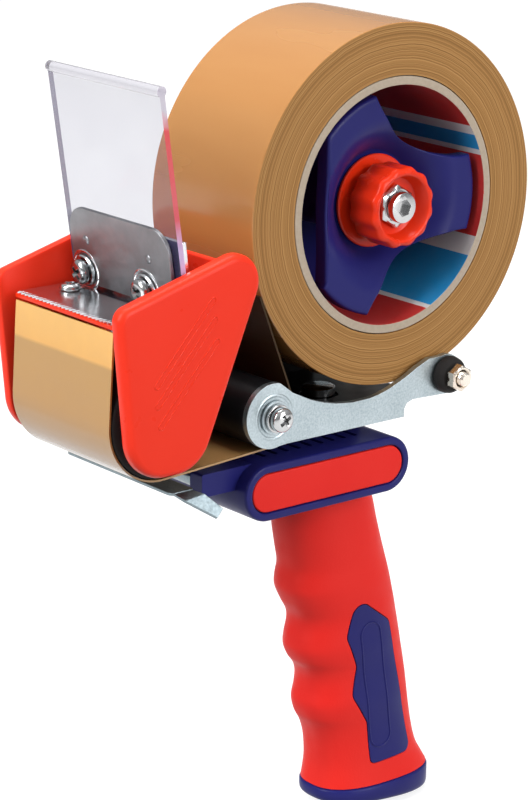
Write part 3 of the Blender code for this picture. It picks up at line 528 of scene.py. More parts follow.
def turned(profile, place, segs=96, closed=True, shape=None):
    """Turned body from (x, radius) points; shape(angle, row) scales the radius."""
    loops = []
    for k, (x, r) in enumerate(profile):
        loop = []
        for i in range(segs):
            a = 2.0 * math.pi * i / segs
            rr = r * shape(a, k) if shape else r
            loop.append(place @ Vector((x, rr * math.cos(a), rr * math.sin(a))))
        loops.append(loop)
    return skin(loops, closed)


def ring(x0, x1, r_in, r_out, place, segs=96):
    return turned([(x0, r_in), (x0, r_out), (x1, r_out), (x1, r_in)], place, segs)


def hexagon(x0, x1, flats, bore, place):
    corner = flats / math.sqrt(3.0)
    loops = []
    for x, limit in ((x0, flats * 0.47), (x0 + 0.45, corner), (x1 - 0.45, corner), (x1, flats * 0.47)):
        loop = []
        for i in range(96):
            a = 2.0 * math.pi * i / 96
            side = (a + math.pi / 6.0) % (math.pi / 3.0) - math.pi / 6.0
            r = min(flats / 2.0 / math.cos(side), limit)
            loop.append(place @ Vector((x, r * math.cos(a), r * math.sin(a))))
        loops.append(loop)
    for x, r in ((x1, bore + 0.4), (x1 - 0.4, bore), (x0 + 0.4, bore), (x0, bore + 0.4)):
        loops.append([place @ Vector((x, r * math.cos(2 * math.pi * i / 96), r * math.sin(2 * math.pi * i / 96)))
                      for i in range(96)])
    return skin(loops, True)


def cross_screw(name, face, way, place, head_r, head_h, shank_r, length, node, slot="bright_steel", turn=20.0):
    """Pan head screw with a cross recess; the head sits on face and points way along local X."""
    prof = [(face - way * length, shank_r * 0.7), (face - way * (length - 0.5), shank_r), (face, shank_r),
            (face, head_r * 0.95), (face + way * 0.25, head_r)]
    for k in range(11):
        t = k / 10.0
        prof.append((face + way * (head_h * 0.38 + head_h * 0.62 * math.sin(t * math.pi / 2.0)),
                     head_r * math.cos(t * math.pi / 2.0) ** 0.6 * 0.995 + 0.02))
    ob = add(name, *turned(prof, place, 64, False), STEEL, node, "frame", slot)
    top = face + way * (head_h + 0.5)
    deep = face + way * head_h * 0.30
    for k in range(2):
        spin = place @ Matrix.Rotation(math.radians(turn + 90.0 * k), 4, "X")
        w0, w1, l0, l1 = head_r * 0.10, head_r * 0.17, head_r * 0.28, head_r * 0.66
        loops = [[spin @ Vector((x, sy * ln, sz * wd)) for sy, sz in ((-1, -1), (1, -1), (1, 1), (-1, 1))]
                 for x, ln, wd in ((deep, l0, w0), (top, l1, w1))]
        carve(ob, add("cutter", *skin(loops), STEEL, None, None))
    soften(ob, 0.08, 2, 50.0)
    return ob


# ---------------------------------------------------------------- frame channel
near = arc(-51.2, -58.6, 10.4, 285.0, 75.0, 40)
near += [(-43.5, -52.4), (-36.1, -56.0), (-30.9, -57.8), (-25.8, -59.0), (-19.0, -59.8), (-12.0, -59.7)]
near += [(-8.0, -59.1), (-3.8, -58.0), (3.0, -55.4), (8.0, -52.9), (13.1, -50.9)]
near += arc(20.5, -57.2, 6.6, 108.0, -82.0, 30)
near += [(6.5, -63.2), (4.0, -64.0), (3.0, -65.6), (2.9, BASE_LOW), (-45.5, BASE_LOW)]
far = arc(*FRONT_AT, 10.0, 270.0, 100.0, 30)
far += [(-80.0, -41.5), (-60.0, -38.0), (-40.0, -27.0), (-22.0, -8.0)]
far += arc(0.0, 0.0, 15.0, 165.0, 0.0, 40)
far += [(15.6, -14.0), (16.5, -36.0), (17.6, -47.0)] + arc(20.5, -57.2, 6.6, 50.0, -82.0, 24)
far += [(6.5, -63.2), (4.0, -64.0), (3.0, -65.6), (2.9, BASE_LOW), (-60.0, BASE_LOW), (-74.0, -64.5)]
holes = [circle(*GUIDE_AT, 2.6), circle(*REAR_AT, 2.7)]
base = [(-28.0, -41.6), (28.0, -41.6), (28.0, 2.8), (-28.0, 2.8)]
add("channel_shell", *join(
    flat_body(near, holes, WALL_IN, WALL_OUT),
    flat_body(far, holes + [circle(*FRONT_AT, 2.6), circle(0.0, 0.0, 4.3), circle(*GUARD_SCREW_AT, 1.9)],
              -WALL_OUT, -WALL_IN),
    flat_body(base, [circle(0.0, BOLT_Y, 3.4), circle(0.0, PEG_Y, 2.4)], BASE_LOW + 0.05, -66.4, "Z")),
    ZINC, "frame_channel", "frame", "zinc_steel", bevel=0.45)
add("channel_screw_dish", *turned([(28.5, 6.2), (28.75, 6.5), (28.8, 6.9), (28.75, 7.3), (28.5, 7.6)],
                                  along_x(*GUIDE_AT)), ZINC, None, "frame", "zinc_steel")
# A black sheet inside the far wall and a black liner on the base: guessed black plastic parts, made black as
# painted shade for the dark inside of the channel.
shield = rounded([(-64.0, -46.0, 3.0), (-39.0, -47.6, 3.0), (-37.0, -65.9, 1.0), (11.0, -65.9, 1.0),
                  (12.0, -20.0, 6.0), (2.0, -17.0, 3.0), (-18.0, -14.0, 4.0), (-40.0, -31.0, 5.0),
                  (-60.0, -40.0, 5.0)])
liner = [(-26.0, -36.4), (-5.0, -36.4), (-5.0, -29.0), (5.0, -29.0), (5.0, -36.4), (14.0, -36.4), (14.0, 18.0),
         (-26.0, 18.0)]
add("shield_sheet_painted_shade", *join(flat_body(shield, [], -26.3, -25.5),
                          flat_body(liner, [circle(0.0, BOLT_Y, 6.2)], -66.1, -65.3, "Z")),
    BLACK, "inner_shield", "frame", "black_plastic", bevel=0.2)

# ---------------------------------------------------------------- guide roller and rear bolt
guide = along_x(*GUIDE_AT)
roller = [(-25.2, 2.75), (-25.2, 9.5), (-24.9, 10.0), (-24.3, 10.3), (25.3, 10.3), (25.9, 10.0), (26.2, 9.5),
          (26.2, 7.6), (25.6, 7.2), (25.6, 4.6), (26.2, 4.2), (26.2, 2.75)]
add("guide_drum", *turned(roller, guide), BLACK, "guide_roller", "guide_roller", "black_plastic")
cross_screw("guide_screw_head", 31.4, 1.0, guide, 3.9, 3.0, 2.3, 65.0, "guide_screw", turn=30.0)
add("guide_flat_washer", *ring(28.9, 29.7, 2.7, 5.4, guide), ZINC, "guide_washer", "frame", "zinc_steel", bevel=0.2)
add("guide_split_washer", *ring(30.0, 31.1, 2.7, 4.5, guide), STEEL, "guide_spring_washer", "frame", "bright_steel",
    bevel=0.25)
add("guide_hex_nut", *hexagon(-32.6, -28.9, 8.0, 2.7, guide), STEEL, "guide_nut", "frame", "bright_steel")
rear = along_x(*REAR_AT)
threads = [(29.0 + 0.35 * k, 2.3 if k % 2 else 2.12) for k in range(25)]
add("rear_bolt_thread", *turned([(-32.4, 3.0), (-32.4, 4.3), (-28.9, 4.3), (-28.9, 2.3)] + threads
                                + [(37.7, 2.2), (38.4, 1.7)], rear, 48, False),
    COPPERY, "rear_bolt", "frame", "bright_steel")
add("rear_cone_bush", *turned([(28.9, 2.7), (28.9, 5.4), (29.1, 5.8), (29.5, 6.1), (30.4, 6.05), (31.6, 5.8),
                               (32.6, 5.2), (32.9, 4.8), (32.9, 2.7)], rear),
    RUBBER, "rear_bush", "frame", "black_rubber")
add("rear_hex_nut", *hexagon(33.2, 36.6, 7.6, 2.7, rear), COPPERY, "rear_nut", "frame", "bright_steel", bevel=0.1)

# ---------------------------------------------------------------- front roller
front = along_x(*FRONT_AT)
core = [(-25.6, 2.75), (-25.6, 6.0), (-23.0, 6.0), (-22.4, 11.4), (-25.4, 11.8), (-25.4, 13.0), (25.4, 13.0),
        (25.4, 11.8), (22.4, 11.4), (23.0, 6.0), (25.6, 6.0), (25.6, 2.75)]
add("front_drum", *turned(core, front), BLACK, "front_roller_core", "front_roller", "black_plastic", bevel=0.25)
add("front_tyre", *turned([(-25.4, 13.3), (-25.4, 17.5), (-25.1, 18.1), (-24.5, 18.3), (24.5, 18.3), (25.1, 18.1),
                           (25.4, 17.5), (25.4, 13.3)], front, 160),
    RUBBER, "front_roller_tyre", "front_roller", "black_rubber")
add("front_axle_rod", *turned([(-37.2, 2.6), (-37.4, 3.4), (-37.4, 4.6), (-37.0, 4.9), (-33.8, 4.9), (-33.8, 2.3),
                               (28.0, 2.3), (28.3, 2.0)], front, 64, False),
    STEEL, "front_axle", "frame", "bright_steel")
add("front_axle_ring", *ring(26.0, 27.8, 2.6, 5.0, front), STEEL, "front_axle_collar", "frame", "bright_steel",
    bevel=0.2)

# ---------------------------------------------------------------- red guard
cheek = rounded([(-113.0, -16.0, 4.6), (-107.8, -69.0, 14.0), (-82.2, -69.0, 13.0), (-53.8, 0.1, 9.3)], 24)


def cheek_loops(x_in, x_out):
    s = 1.0 if x_out > x_in else -1.0
    levels = [(x_in, 0.5), (x_in + s * 0.2, 0.15), (x_in + s * 0.5, 0.0)]
    for k in range(9):
        t = math.pi / 2.0 * k / 8.0
        levels.append((x_out - s * 2.3 * (1.0 - math.sin(t)), 2.3 * (1.0 - math.cos(t))))
    return [[(x, p[0], p[1]) for p in inset(cheek, d)] for x, d in levels]


panel = rounded([(-73.9, -6.5, 0.8), (-71.5, -6.5, 0.8), (-71.5, -38.0, 0.8), (-73.9, -38.0, 0.8)], 6)
guard_shape = join(skin(cheek_loops(28.9, 33.4)), skin(cheek_loops(-28.9, -33.4)),
                   flat_body(panel, [], -29.5, 29.5))
add("guard_shell", *guard_shape, RED, "front_guard", "frame", "red_plastic", sharp=40.0)


def bead(points, r, sides=10):
    """A thin raised line that follows points."""
    loops = []
    for i, p in enumerate(points):
        t = (Vector(points[min(i + 1, len(points) - 1)]) - Vector(points[max(i - 1, 0)])).normalized()
        u = Vector((1.0, 0.0, 0.0))
        v = t.cross(u).normalized()
        u = v.cross(t).normalized()
        turns = [2 * math.pi * k / sides for k in range(sides)]
        loops.append([Vector(p) + (u * math.cos(a) + v * math.sin(a)) * r for a in turns])
    return skin(loops)


def slot_loop(a, b, r, step=0.5):
    """Evenly spread points round a long slot between a and b, with the start repeated."""
    along = (b - a).normalized()
    across = Vector((-along.y, along.x))
    raw = []
    for end, way in ((b, 1.0), (a, -1.0)):
        for k in range(30):
            t = math.pi * k / 29.0
            raw.append(end + along * (way * math.sin(t)) * r + across * (way * math.cos(t)) * r)
    out = []
    for k in range(60):
        p, q = raw[k], raw[(k + 1) % 60]
        n = max(int((q - p).length / step), 1)
        out += [p + (q - p) * j / n for j in range(n)]
    return out + out[:2]


ribs = [((-99.3, -40.0), (-78.6, -17.0)), ((-98.9, -46.2), (-77.9, -23.0)), ((-97.8, -52.6), (-77.1, -29.8))]
rib_shapes = []
for a, b in ribs:
    loop = slot_loop(Vector(a), Vector(b), 0.9)
    rib_shapes.append(bead([(33.38, q.x, q.y) for q in loop], 0.20))
add("guard_ribs", *join(*rib_shapes), RED_GLOSS, None, "frame", "red_plastic", sharp=60.0)
cross_screw("guard_fixing", -33.7, -1.0, along_x(*GUARD_SCREW_AT), 3.2, 2.2, 1.6, 7.3, "guard_screw")

# ---------------------------------------------------------------- cutter
back = -1.8 - GAP
section = [(-104.6, -23.4), (-74.2, -23.4), (-74.2, -22.2), (flap_point(back - 1.5, 0.0)[0], -22.2),
           flap_point(back - 1.5, 21.0), flap_point(back, 21.0), (flap_point(back, 0.0)[0], -22.2), (-104.6, -22.2)]
add("bracket_fold", *flat_body(section, [], -27.4, 27.4), POLISHED, "blade_bracket", "frame", "zinc_steel",
    bevel=0.25)
teeth = []
for i in range(26):
    x = -TAPE_HALF + i * 2.0 * TAPE_HALF / 26
    teeth += [(x, -107.3), (x + TAPE_HALF / 26, -109.2)]
teeth += [(TAPE_HALF, -107.3), (TAPE_HALF, -90.6), (-TAPE_HALF, -90.6)]
add("toothed_blade", *flat_body(teeth, [circle(x, BLADE_SCREW_Y, 1.9) for _, x in BLADE_SCREWS], -21.9, -21.3, "Z"),
    POLISHED, "cutter_blade", "frame", "bright_steel", bevel=0.12, segs=2)
strip = rounded([(-26.0, -108.9, 0.8), (26.0, -108.9, 0.8), (26.0, -104.9, 0.6), (-26.0, -104.9, 0.6)], 6)
add("edge_strip", *flat_body(strip, [], -23.4, -22.2, "Z"), RED_GLOSS, "blade_edge_strip", "frame", "red_plastic",
    bevel=0.3)
for tag, x in BLADE_SCREWS:
    cross_screw("blade_fixing_" + tag, -21.0, 1.0, along_z(x, BLADE_SCREW_Y), 3.3, 2.0, 1.5, 5.0,
                "blade_screw_" + tag)

# ---------------------------------------------------------------- clear flap and its clamp
flap = [(0.0, 0.3), (0.0, FLAP_TALL - 1.4)] + arc(-0.9, FLAP_TALL, ROD_R, -57.0, 237.0, 36)
flap += [(-1.8, FLAP_TALL - 1.4), (-1.8, 0.3)]
# The cut edges take the material with the painted red reflection.
add("flap_sheet", *flat_body([flap_point(a, u) for a, u in flap], [], -FLAP_HALF, FLAP_HALF),
    [CLEAR, EDGE_PAINTED_REFLECTION, ROD], "clear_flap", "frame", "clear_plastic", bevel=0.15,
    pick=lambda n, c: 1 if abs(n.x) > 0.8 else 2 if c.z > 43.85 else 0)
outline = rounded([(-25.0, 0.4, 0.8), (25.0, 0.4, 0.8), (25.0, 24.8, 7.5), (-25.0, 24.8, 7.5)], 20)
v, f = flat_body(outline, [circle(x, 4.6, 2.0) for _, x in CLAMP_SCREWS], GAP, GAP + 1.3, "Y")
add("clamp_sheet", [(p[0], *flap_point(p[1], p[2])) for p in v], f, SATIN, "clamp_plate", "frame", "zinc_steel",
    bevel=0.35)
for tag, x in (("far", -17.1), ("near", 14.4)):
    dome = [(1.5, 1.5), (1.75, 1.35), (1.95, 1.0), (2.08, 0.5), (2.1, 0.1)]
    add("clamp_dimple_" + tag, *turned(dome, on_flap(x, 14.6), 32, False), SATIN, None, "frame", "zinc_steel")
for tag, x in CLAMP_SCREWS:
    spot = on_flap(x, 4.6)
    add("clamp_flat_washer_" + tag,
        *turned([(1.9, 2.0), (1.9, 5.0), (2.3, 5.0), (2.7, 4.6), (2.45, 3.9), (2.45, 2.0)], spot),
        POLISHED, "clamp_washer_" + tag, "frame", "zinc_steel")
    cross_screw("clamp_fixing_" + tag, 3.0, 1.0, spot, 3.9, 2.6, 1.7, 9.0, "clamp_screw_" + tag, turn=35.0)
    add("clamp_dish_" + tag, *turned([(1.5, 5.3), (1.75, 5.6), (1.85, 6.0), (1.75, 6.4), (1.5, 6.7)], spot),
        POLISHED, None, "frame", "zinc_steel")

# ---------------------------------------------------------------- roll, core, hub
roll = along_x(0.0, 0.0)
add("spindle_rod", *turned([(-37.0, 3.3), (-36.6, 3.9), (-26.3, 3.9), (-26.3, 4.9), (19.0, 4.9), (19.3, 4.6),
                            (19.3, 2.9), (2.0, 2.9), (0.5, 1.0)], roll, 64, False),
    STEEL, "hub_spindle", "frame", "bright_steel")
add("spindle_hex_nut", *hexagon(-34.0, -28.9, 13.0, 4.3, roll), STEEL, "spindle_nut", "frame", "bright_steel")
add("core_tube", *ring(-TAPE_HALF, TAPE_HALF, CORE_IN, CORE_OUT, roll, 240), [CARD, PRINT],
    "tape_core", "roll", "core_cardboard", bevel=0.15,
    pick=lambda n, c: 1 if abs(n.x) < 0.5 and math.hypot(c.y, c.z) < 39.0 else 0)
wound = [(-TAPE_HALF, ROLL_IN), (-TAPE_HALF, ROLL_OUT - 0.2), (0.2 - TAPE_HALF, ROLL_OUT),
         (TAPE_HALF - 0.2, ROLL_OUT), (TAPE_HALF, ROLL_OUT - 0.2), (TAPE_HALF, ROLL_IN)]
add("wound_roll", *turned(wound, roll, 300), [OUTSIDE, SIDE], "tape_roll", "roll", "brown_tape",
    pick=lambda n, c: 1 if abs(n.x) > 0.8 else 0)


def three_points(a, mid, end):
    """Centre and radius of the circle through three points given as (degrees, radius)."""
    a, b, c = [Vector((r * math.cos(math.radians(t)), r * math.sin(math.radians(t)))) for t, r in (a, mid, end)]
    d = 2.0 * (a.x * (b.y - c.y) + b.x * (c.y - a.y) + c.x * (a.y - b.y))
    ux = (a.length_squared * (b.y - c.y) + b.length_squared * (c.y - a.y) + c.length_squared * (a.y - b.y)) / d
    uy = (a.length_squared * (c.x - b.x) + b.length_squared * (a.x - c.x) + c.length_squared * (b.x - a.x)) / d
    return Vector((ux, uy)), (a - Vector((ux, uy))).length


UPPER = three_points((20.0, HUB_R), (60.5, 20.4), (101.0, HUB_R))
LOWER = three_points((-20.0, HUB_R), (-62.0, 20.0), (-104.0, HUB_R))


def hub_edge(deg):
    ray = Vector((math.cos(math.radians(deg)), math.sin(math.radians(deg))))
    if 20.0 < deg < 101.0 or -104.0 < deg < -20.0:
        mid, r = UPPER if deg > 0.0 else LOWER
        k = ray.dot(mid)
        return k - math.sqrt(max(k * k - mid.length_squared + r * r, 0.0))
    if deg > 137.0 or deg < -139.0:
        return min(HUB_R, 26.2 / max(-ray.x, 0.1))
    return HUB_R


def hub_face(r):
    f = min(max((r - 15.5) / 13.5, 0.0), 1.0)
    return HUB_DISH + (HUB_FACE - HUB_DISH) * math.sin(f * math.pi / 2.0)


N = 360
hub = []
for r in (5.3, 10.0, 15.5):
    hub.append([(HUB_DISH, r * math.cos(2 * math.pi * i / N), r * math.sin(2 * math.pi * i / N)) for i in range(N)])
levels = [(k / 12.0, 0.0, 0.0) for k in range(1, 12)]
levels += [(1.0, 0.05, 1.1), (1.0, 0.2, 0.6), (1.0, 0.55, 0.2), (1.0, 1.1, 0.0), (1.0, 5.0, 0.0)]
for f, sink, back_in in levels:
    loop = []
    for i in range(N):
        a = 360.0 * i / N
        deg = a if a <= 180.0 else a - 360.0
        r = 15.5 + f * (hub_edge(deg) - back_in - 15.5)
        loop.append((hub_face(r) - sink, r * math.cos(math.radians(a)), r * math.sin(math.radians(a))))
    hub.append(loop)
for x, r in ((7.0, 12.0), (-20.6, 12.0), (-21.2, 37.2), (-21.6, 37.6), (-25.0, 37.6), (-25.2, 37.3), (-25.2, 5.3)):
    hub.append([(x, r * math.cos(2 * math.pi * i / N), r * math.sin(2 * math.pi * i / N)) for i in range(N)])
add("hub_lobes", *skin(hub, True), BLUE, "roll_hub", "roll", "blue_plastic", sharp=48.0)

# ---------------------------------------------------------------- brake and knob
add("brake_plate", *turned([(13.9, 5.3), (13.9, 14.5), (14.2, 14.9), (14.9, 14.9), (15.2, 14.5), (15.2, 5.3)],
                           roll, 120), RED_GLOSS, "brake_disc", "frame", "red_plastic")
wire = []
for k in range(120):
    a = 2.0 * math.pi * 2.6 * k / 119
    mid = Vector((16.2 + 4.4 * k / 119, 7.6 * math.cos(a), 7.6 * math.sin(a)))
    out = Vector((0.0, math.cos(a), math.sin(a)))
    turns = [2 * math.pi * j / 10 for j in range(10)]
    wire.append([mid + (out * math.cos(t) + Vector((math.sin(t), 0.0, 0.0))) * 0.55 for t in turns])
add("brake_coil", *skin(wire), STEEL, "brake_spring", "frame", "bright_steel", sharp=60.0)


def scallop(a, k):
    return 1.0 - (0.055 if 2 < k < 13 else 0.0) * (0.5 + 0.5 * math.cos(12 * a))


knob = [(21.6, 3.0), (21.6, 10.6), (17.3, 11.0), (17.3, 12.2), (17.6, 12.7), (18.1, 13.0), (23.0, 13.0),
        (27.6, 13.0)]
quarter = [math.pi / 2.0 * k / 6.0 for k in range(1, 7)]
knob += [(27.6 + 1.9 * math.sin(t), 11.1 + 1.9 * math.cos(t)) for t in quarter]
knob += [(29.4, 10.5), (29.1, 10.1), (24.5, 9.2), (24.2, 8.8), (24.2, 3.0)]
add("scalloped_knob", *turned(knob, roll, 240, True, scallop), RED_GLOSS, "brake_knob", "knob", "red_plastic",
    sharp=55.0)
add("knob_hex_nut", *hexagon(24.5, 26.4, 12.0, 3.0, roll), STEEL, "knob_nut", "knob", "bright_steel", bevel=0.1)
cap = [(3.0, 2.0), (3.5, 2.5), (26.7, 2.5), (26.7, 4.7), (26.9, 4.9), (28.9, 4.9), (29.2, 4.75), (29.3, 4.5)]
cap_ob = add("knob_cap_screw", *turned(cap, roll, 96, False), STEEL, "knob_screw", "knob", "bright_steel")
hexa = [[(x, 2.83 * math.cos(math.radians(60 * k + 10)), 2.83 * math.sin(math.radians(60 * k + 10)))
         for k in range(6)] for x in (27.2, 31.0)]
carve(cap_ob, add("cutter", *skin(hexa), STEEL, None, None))
soften(cap_ob, 0.1, 2, 45.0)


# ---------------------------------------------------------------- tape leaving the roll
def tangent(c1, r1, s1, c2, r2, s2):
    """Ends of the straight run between two circles; s1 and s2 say which side of each it passes."""
    d = Vector(c2) - Vector(c1)
    nu = math.atan2(d.y, d.x) + math.acos((s2 * r2 - s1 * r1) / d.length)
    n = Vector((math.cos(nu), math.sin(nu)))
    return Vector(c1) - n * (s1 * r1), Vector(c2) - n * (s2 * r2)


def wrap(centre, r, a, b, n):
    c = Vector(centre)
    t0 = math.atan2(a.y - c.y, a.x - c.x)
    sweep = (t0 - math.atan2(b.y - c.y, b.x - c.x)) % (2.0 * math.pi)
    return [c + Vector((math.cos(t0 - sweep * k / n), math.sin(t0 - sweep * k / n))) * r for k in range(1, n)]


def straight(a, b, n=12):
    return [a + (b - a) * k / n for k in range(1, n)]


leave, meet = tangent((0.0, 0.0), 58.0, 1.0, GUIDE_AT, FILM_ON_GUIDE, -1.0)
off_guide, on_front = tangent(GUIDE_AT, FILM_ON_GUIDE, -1.0, FRONT_AT, FILM_ON_FRONT, -1.0)
top_end = Vector((-108.8, -24.0))
off_front, _ = tangent(FRONT_AT, FILM_ON_FRONT, -1.0, top_end, 0.0, -1.0)
path = [leave] + straight(leave, meet) + [meet] + wrap(GUIDE_AT, FILM_ON_GUIDE, meet, off_guide, 40) + [off_guide]
path += straight(off_guide, on_front) + [on_front]
path += wrap(FRONT_AT, FILM_ON_FRONT, on_front, off_front, 60) + [off_front]
path += straight(off_front, top_end) + [top_end]
web = []
for i, p in enumerate(path):
    t = (path[min(i + 1, len(path) - 1)] - path[max(i - 1, 0)]).normalized()
    n = Vector((-t.y, t.x))
    a, b = p + n * 0.3, p - n * 0.3
    web.append([(-TAPE_HALF, *a), (TAPE_HALF, *a), (TAPE_HALF, *b), (-TAPE_HALF, *b)])
# Between the roll and the guide roller the web takes the film painted dark as painted shade; elsewhere it takes the
# film with its painted light band.
add("film_web", *skin(web), [FILM, FILM_PAINTED_SHADE], "tape_web", "frame", "brown_tape", sharp=40.0,
    pick=lambda n, c: 1 if c.y > -63.0 and c.z > -66.0 else 0)

# ---------------------------------------------------------------- saddle, head and collar
saddle = rounded([(-9.8, -41.6, 1.0), (9.8, -41.6, 1.0), (9.8, 1.5, 1.0), (-9.8, 1.5, 1.0)], 6)
add("saddle_block", *flat_body(saddle, [circle(0.0, BOLT_Y, 3.4), circle(0.0, PEG_Y, 2.4)], -74.9, -68.7, "Z"),
    BLUE, "frame_saddle", "frame", "blue_plastic", bevel=0.3)


def stadium(x, d, n=40):
    r = HEAD_HIGH / 2.0 - d
    a = HEAD_LEN / 2.0 - HEAD_HIGH / 2.0
    ends = arc(HEAD_MID[0] - a, HEAD_MID[1], r, 270.0, 90.0, n)
    ends += arc(HEAD_MID[0] + a, HEAD_MID[1], r, 90.0, -90.0, n)
    return [(x, p[0], p[1]) for p in ends]


side = [(24.4, 2.75), (25.5, 2.7), (25.85, 2.5), (26.0, 2.1), (26.0, 0.9), (25.82, 0.4), (25.4, 0.1), (24.8, 0.0)]
head = [stadium(-x, d) for x, d in side] + [stadium(x, d) for x, d in reversed(side)]
head_ob = add("head_shell", *skin(head), BLUE, "grip_head", "frame", "blue_plastic", sharp=40.0)
slots = []
for side_of in (1.0, -1.0):
    for k in range(SLOTS):
        lo, hi = -8.8 - k * SLOT_PITCH, -7.2 - k * SLOT_PITCH
        x0, x1 = sorted((side_of * 10.5, side_of * 18.0))
        slot = rounded([(x0, lo, 0.5), (x1, lo, 0.5), (x1, hi, 0.5), (x0, hi, 0.5)], 4)
        slots.append(flat_body(slot, [], -77.2, -74.0, "Z"))
carve(head_ob, add("cutter", *join(*slots), BLUE, None, None))
lug = rounded([(-72.4, -83.0, 0.8), (-72.4, -75.6, 0.8), (-52.0, -75.6, 0.5), (-52.0, -83.0, 0.5)], 8)
add("head_lugs", *join(flat_body(lug, [circle(*LEVER_AT, 1.8)], -9.5, -5.5),
                       flat_body(lug, [circle(*LEVER_AT, 1.8)], 14.5, 18.8), flat_body(lug, [], 18.8, 20.5)),
    BLUE, None, "frame", "blue_plastic", bevel=0.25)
for tag, s in (("near", 1.0), ("far", -1.0)):
    loops = [stadium(s * 24.7, 3.0), stadium(s * 25.3, 3.0), stadium(s * 25.6, 3.1), stadium(s * 25.75, 3.3),
             stadium(s * 25.8, 3.7)]
    add("head_inlay_plate_" + tag, *skin(loops), RED_GRIP, "head_inlay_" + tag, "frame", "red_plastic")
cross_screw("head_fixing", -66.1, 1.0, along_z(0.0, PEG_Y), 4.0, 2.6, 2.0, 20.0, "head_screw")
add("grip_bolt_hex", *turned([(-120.0, 2.3), (-119.5, 2.9), (-66.1, 2.9), (-66.1, 5.4), (-62.8, 5.4), (-62.4, 4.8)],
                             along_z(0.0, BOLT_Y), 48, False), STEEL, "grip_bolt", "frame", "bright_steel")
add("collar_ring", *ring(-96.6, -93.9, 3.4, 11.6, along_z(0.0, BOLT_Y)), BLUE, "grip_collar", "frame",
    "blue_plastic", bevel=0.3)

# ---------------------------------------------------------------- grip
RINGS = ((-96.9, -24.4, 9.4, 13.0), (-103.0, -24.0, 11.2, 13.1), (-109.2, -23.5, 12.8, 13.2),
         (-116.6, -22.2, 15.0, 13.2), (-122.1, -21.3, 16.8, 13.2), (-126.7, -22.2, 18.3, 13.4),
         (-130.3, -22.2, 19.4, 13.5), (-134.9, -20.0, 20.6, 13.3), (-139.6, -17.3, 21.8, 13.1),
         (-143.3, -16.9, 22.6, 13.1), (-147.9, -18.0, 23.7, 13.3), (-151.6, -18.3, 24.5, 13.4),
         (-155.5, -16.7, 25.3, 13.2), (-159.0, -14.1, 26.1, 13.0), (-162.6, -13.0, 26.8, 13.0),
         (-166.9, -13.3, 27.6, 13.2), (-171.6, -14.3, 28.4, 13.4), (-176.2, -13.2, 29.2, 13.2),
         (-180.2, -10.9, 29.9, 13.0), (-185.0, -9.2, 30.8, 13.0), (-190.0, -8.4, 32.0, 13.2),
         (-194.5, -8.2, 33.6, 13.5), (-198.5, -8.6, 36.0, 14.0), (-202.0, -9.2, 38.2, 14.5))


def smooth_rings(steps=7):
    """Catmull-Rom rings between the measured ones."""
    out = []
    for i in range(len(RINGS) - 1):
        p = [RINGS[max(i - 1, 0)], RINGS[i], RINGS[i + 1], RINGS[min(i + 2, len(RINGS) - 1)]]
        for k in range(steps):
            t = k / steps
            row = []
            for j in range(4):
                a, b, c, d = (q[j] for q in p)
                row.append(0.5 * (2 * b + (c - a) * t + (2 * a - 5 * b + 4 * c - d) * t * t
                                  + (3 * b - a - 3 * c + d) * t ** 3))
            out.append(row)
    return out + [list(RINGS[-1])]


GRIP = smooth_rings()


def egg(z, front_y, rear_y, half_w, d=0.0, n=144):
    mid = (front_y + rear_y) / 2.0
    a, b = half_w - d, (rear_y - front_y) / 2.0 - d
    out = []
    for i in range(n):
        t = 2.0 * math.pi * i / n
        c, s = math.cos(t), math.sin(t)
        out.append((a * math.copysign(abs(c) ** 0.8, c), mid + b * math.copysign(abs(s) ** 0.8, s), z))
    return out


def grip_side(y, z):
    """Half width of the grip's skin at a point of its side view."""
    row = min(GRIP, key=lambda g: abs(g[0] - z))
    mid, b = (row[1] + row[2]) / 2.0, (row[2] - row[1]) / 2.0
    return row[3] * max(1.0 - abs((y - mid) / b) ** 2.5, 0.0) ** 0.4


top = GRIP[0]
loops = [egg(top[0], top[1], top[2], top[3], 1.2), egg(top[0] - 0.3, top[1], top[2], top[3], 0.45)]
loops += [egg(z - (0.9 if i == 0 else 0.0), f, r, w) for i, (z, f, r, w) in enumerate(GRIP)]
grip = add("grip_skin", *skin(loops), RED_GRIP, "grip_body", "frame", "red_plastic", sharp=55.0)
pad = rounded([(-1.6, -133.6, 4.0), (-5.2, -147.0, 4.0), (-0.6, -158.0, 5.0), (-2.0, -168.5, 4.0),
               (4.4, -179.0, 6.0), (6.2, -194.4, 1.8), (24.6, -193.8, 2.6), (13.4, -144.8, 4.0)], 10)[::-1]
for tag, s in (("near", 1.0), ("far", -1.0)):
    lo, hi = sorted((s * 10.2, s * 16.0))
    carve(grip, add("cutter", *flat_body(inset(pad, -0.3), [], lo, hi), RED_GRIP, None, None))
for tag, s in (("near", 1.0), ("far", -1.0)):
    lo, hi = sorted((s * 10.5, s * 16.3))
    insert = add("pad_insert_" + tag, *flat_body(pad, [], lo, hi), BLUE, "grip_pad_" + tag, "frame", "blue_plastic")
    carve(insert, add("cutter", *skin([egg(*g, d=-0.15) for g in GRIP]), BLUE, None, None), "INTERSECT")
    dense = slot_loop(Vector((4.6, -147.6)), Vector((10.2, -184.6)), 4.3, 0.8)
    line = [(s * (grip_side(p.x, p.y) + 0.12), p.x, p.y) for p in dense]
    add("pad_line_" + tag, *bead(line, 0.34), BLUE, None, "frame", "blue_plastic", sharp=60.0)
foot = [egg(-202.3, -9.2, 38.2, 14.5, 0.3), egg(-202.6, -9.4, 38.4, 14.7, 0.05), egg(-203.0, -9.6, 38.6, 14.9)]
for drop, d in ((0.0, 0.0), (1.0, 0.15), (1.6, 0.5), (2.0, 1.0), (2.2, 1.6)):
    loop = egg(-204.8, -9.6, 38.6, 14.9, d)
    foot.append([(x, y, z - drop - 0.085 * (y + 9.6)) for x, y, z in loop])
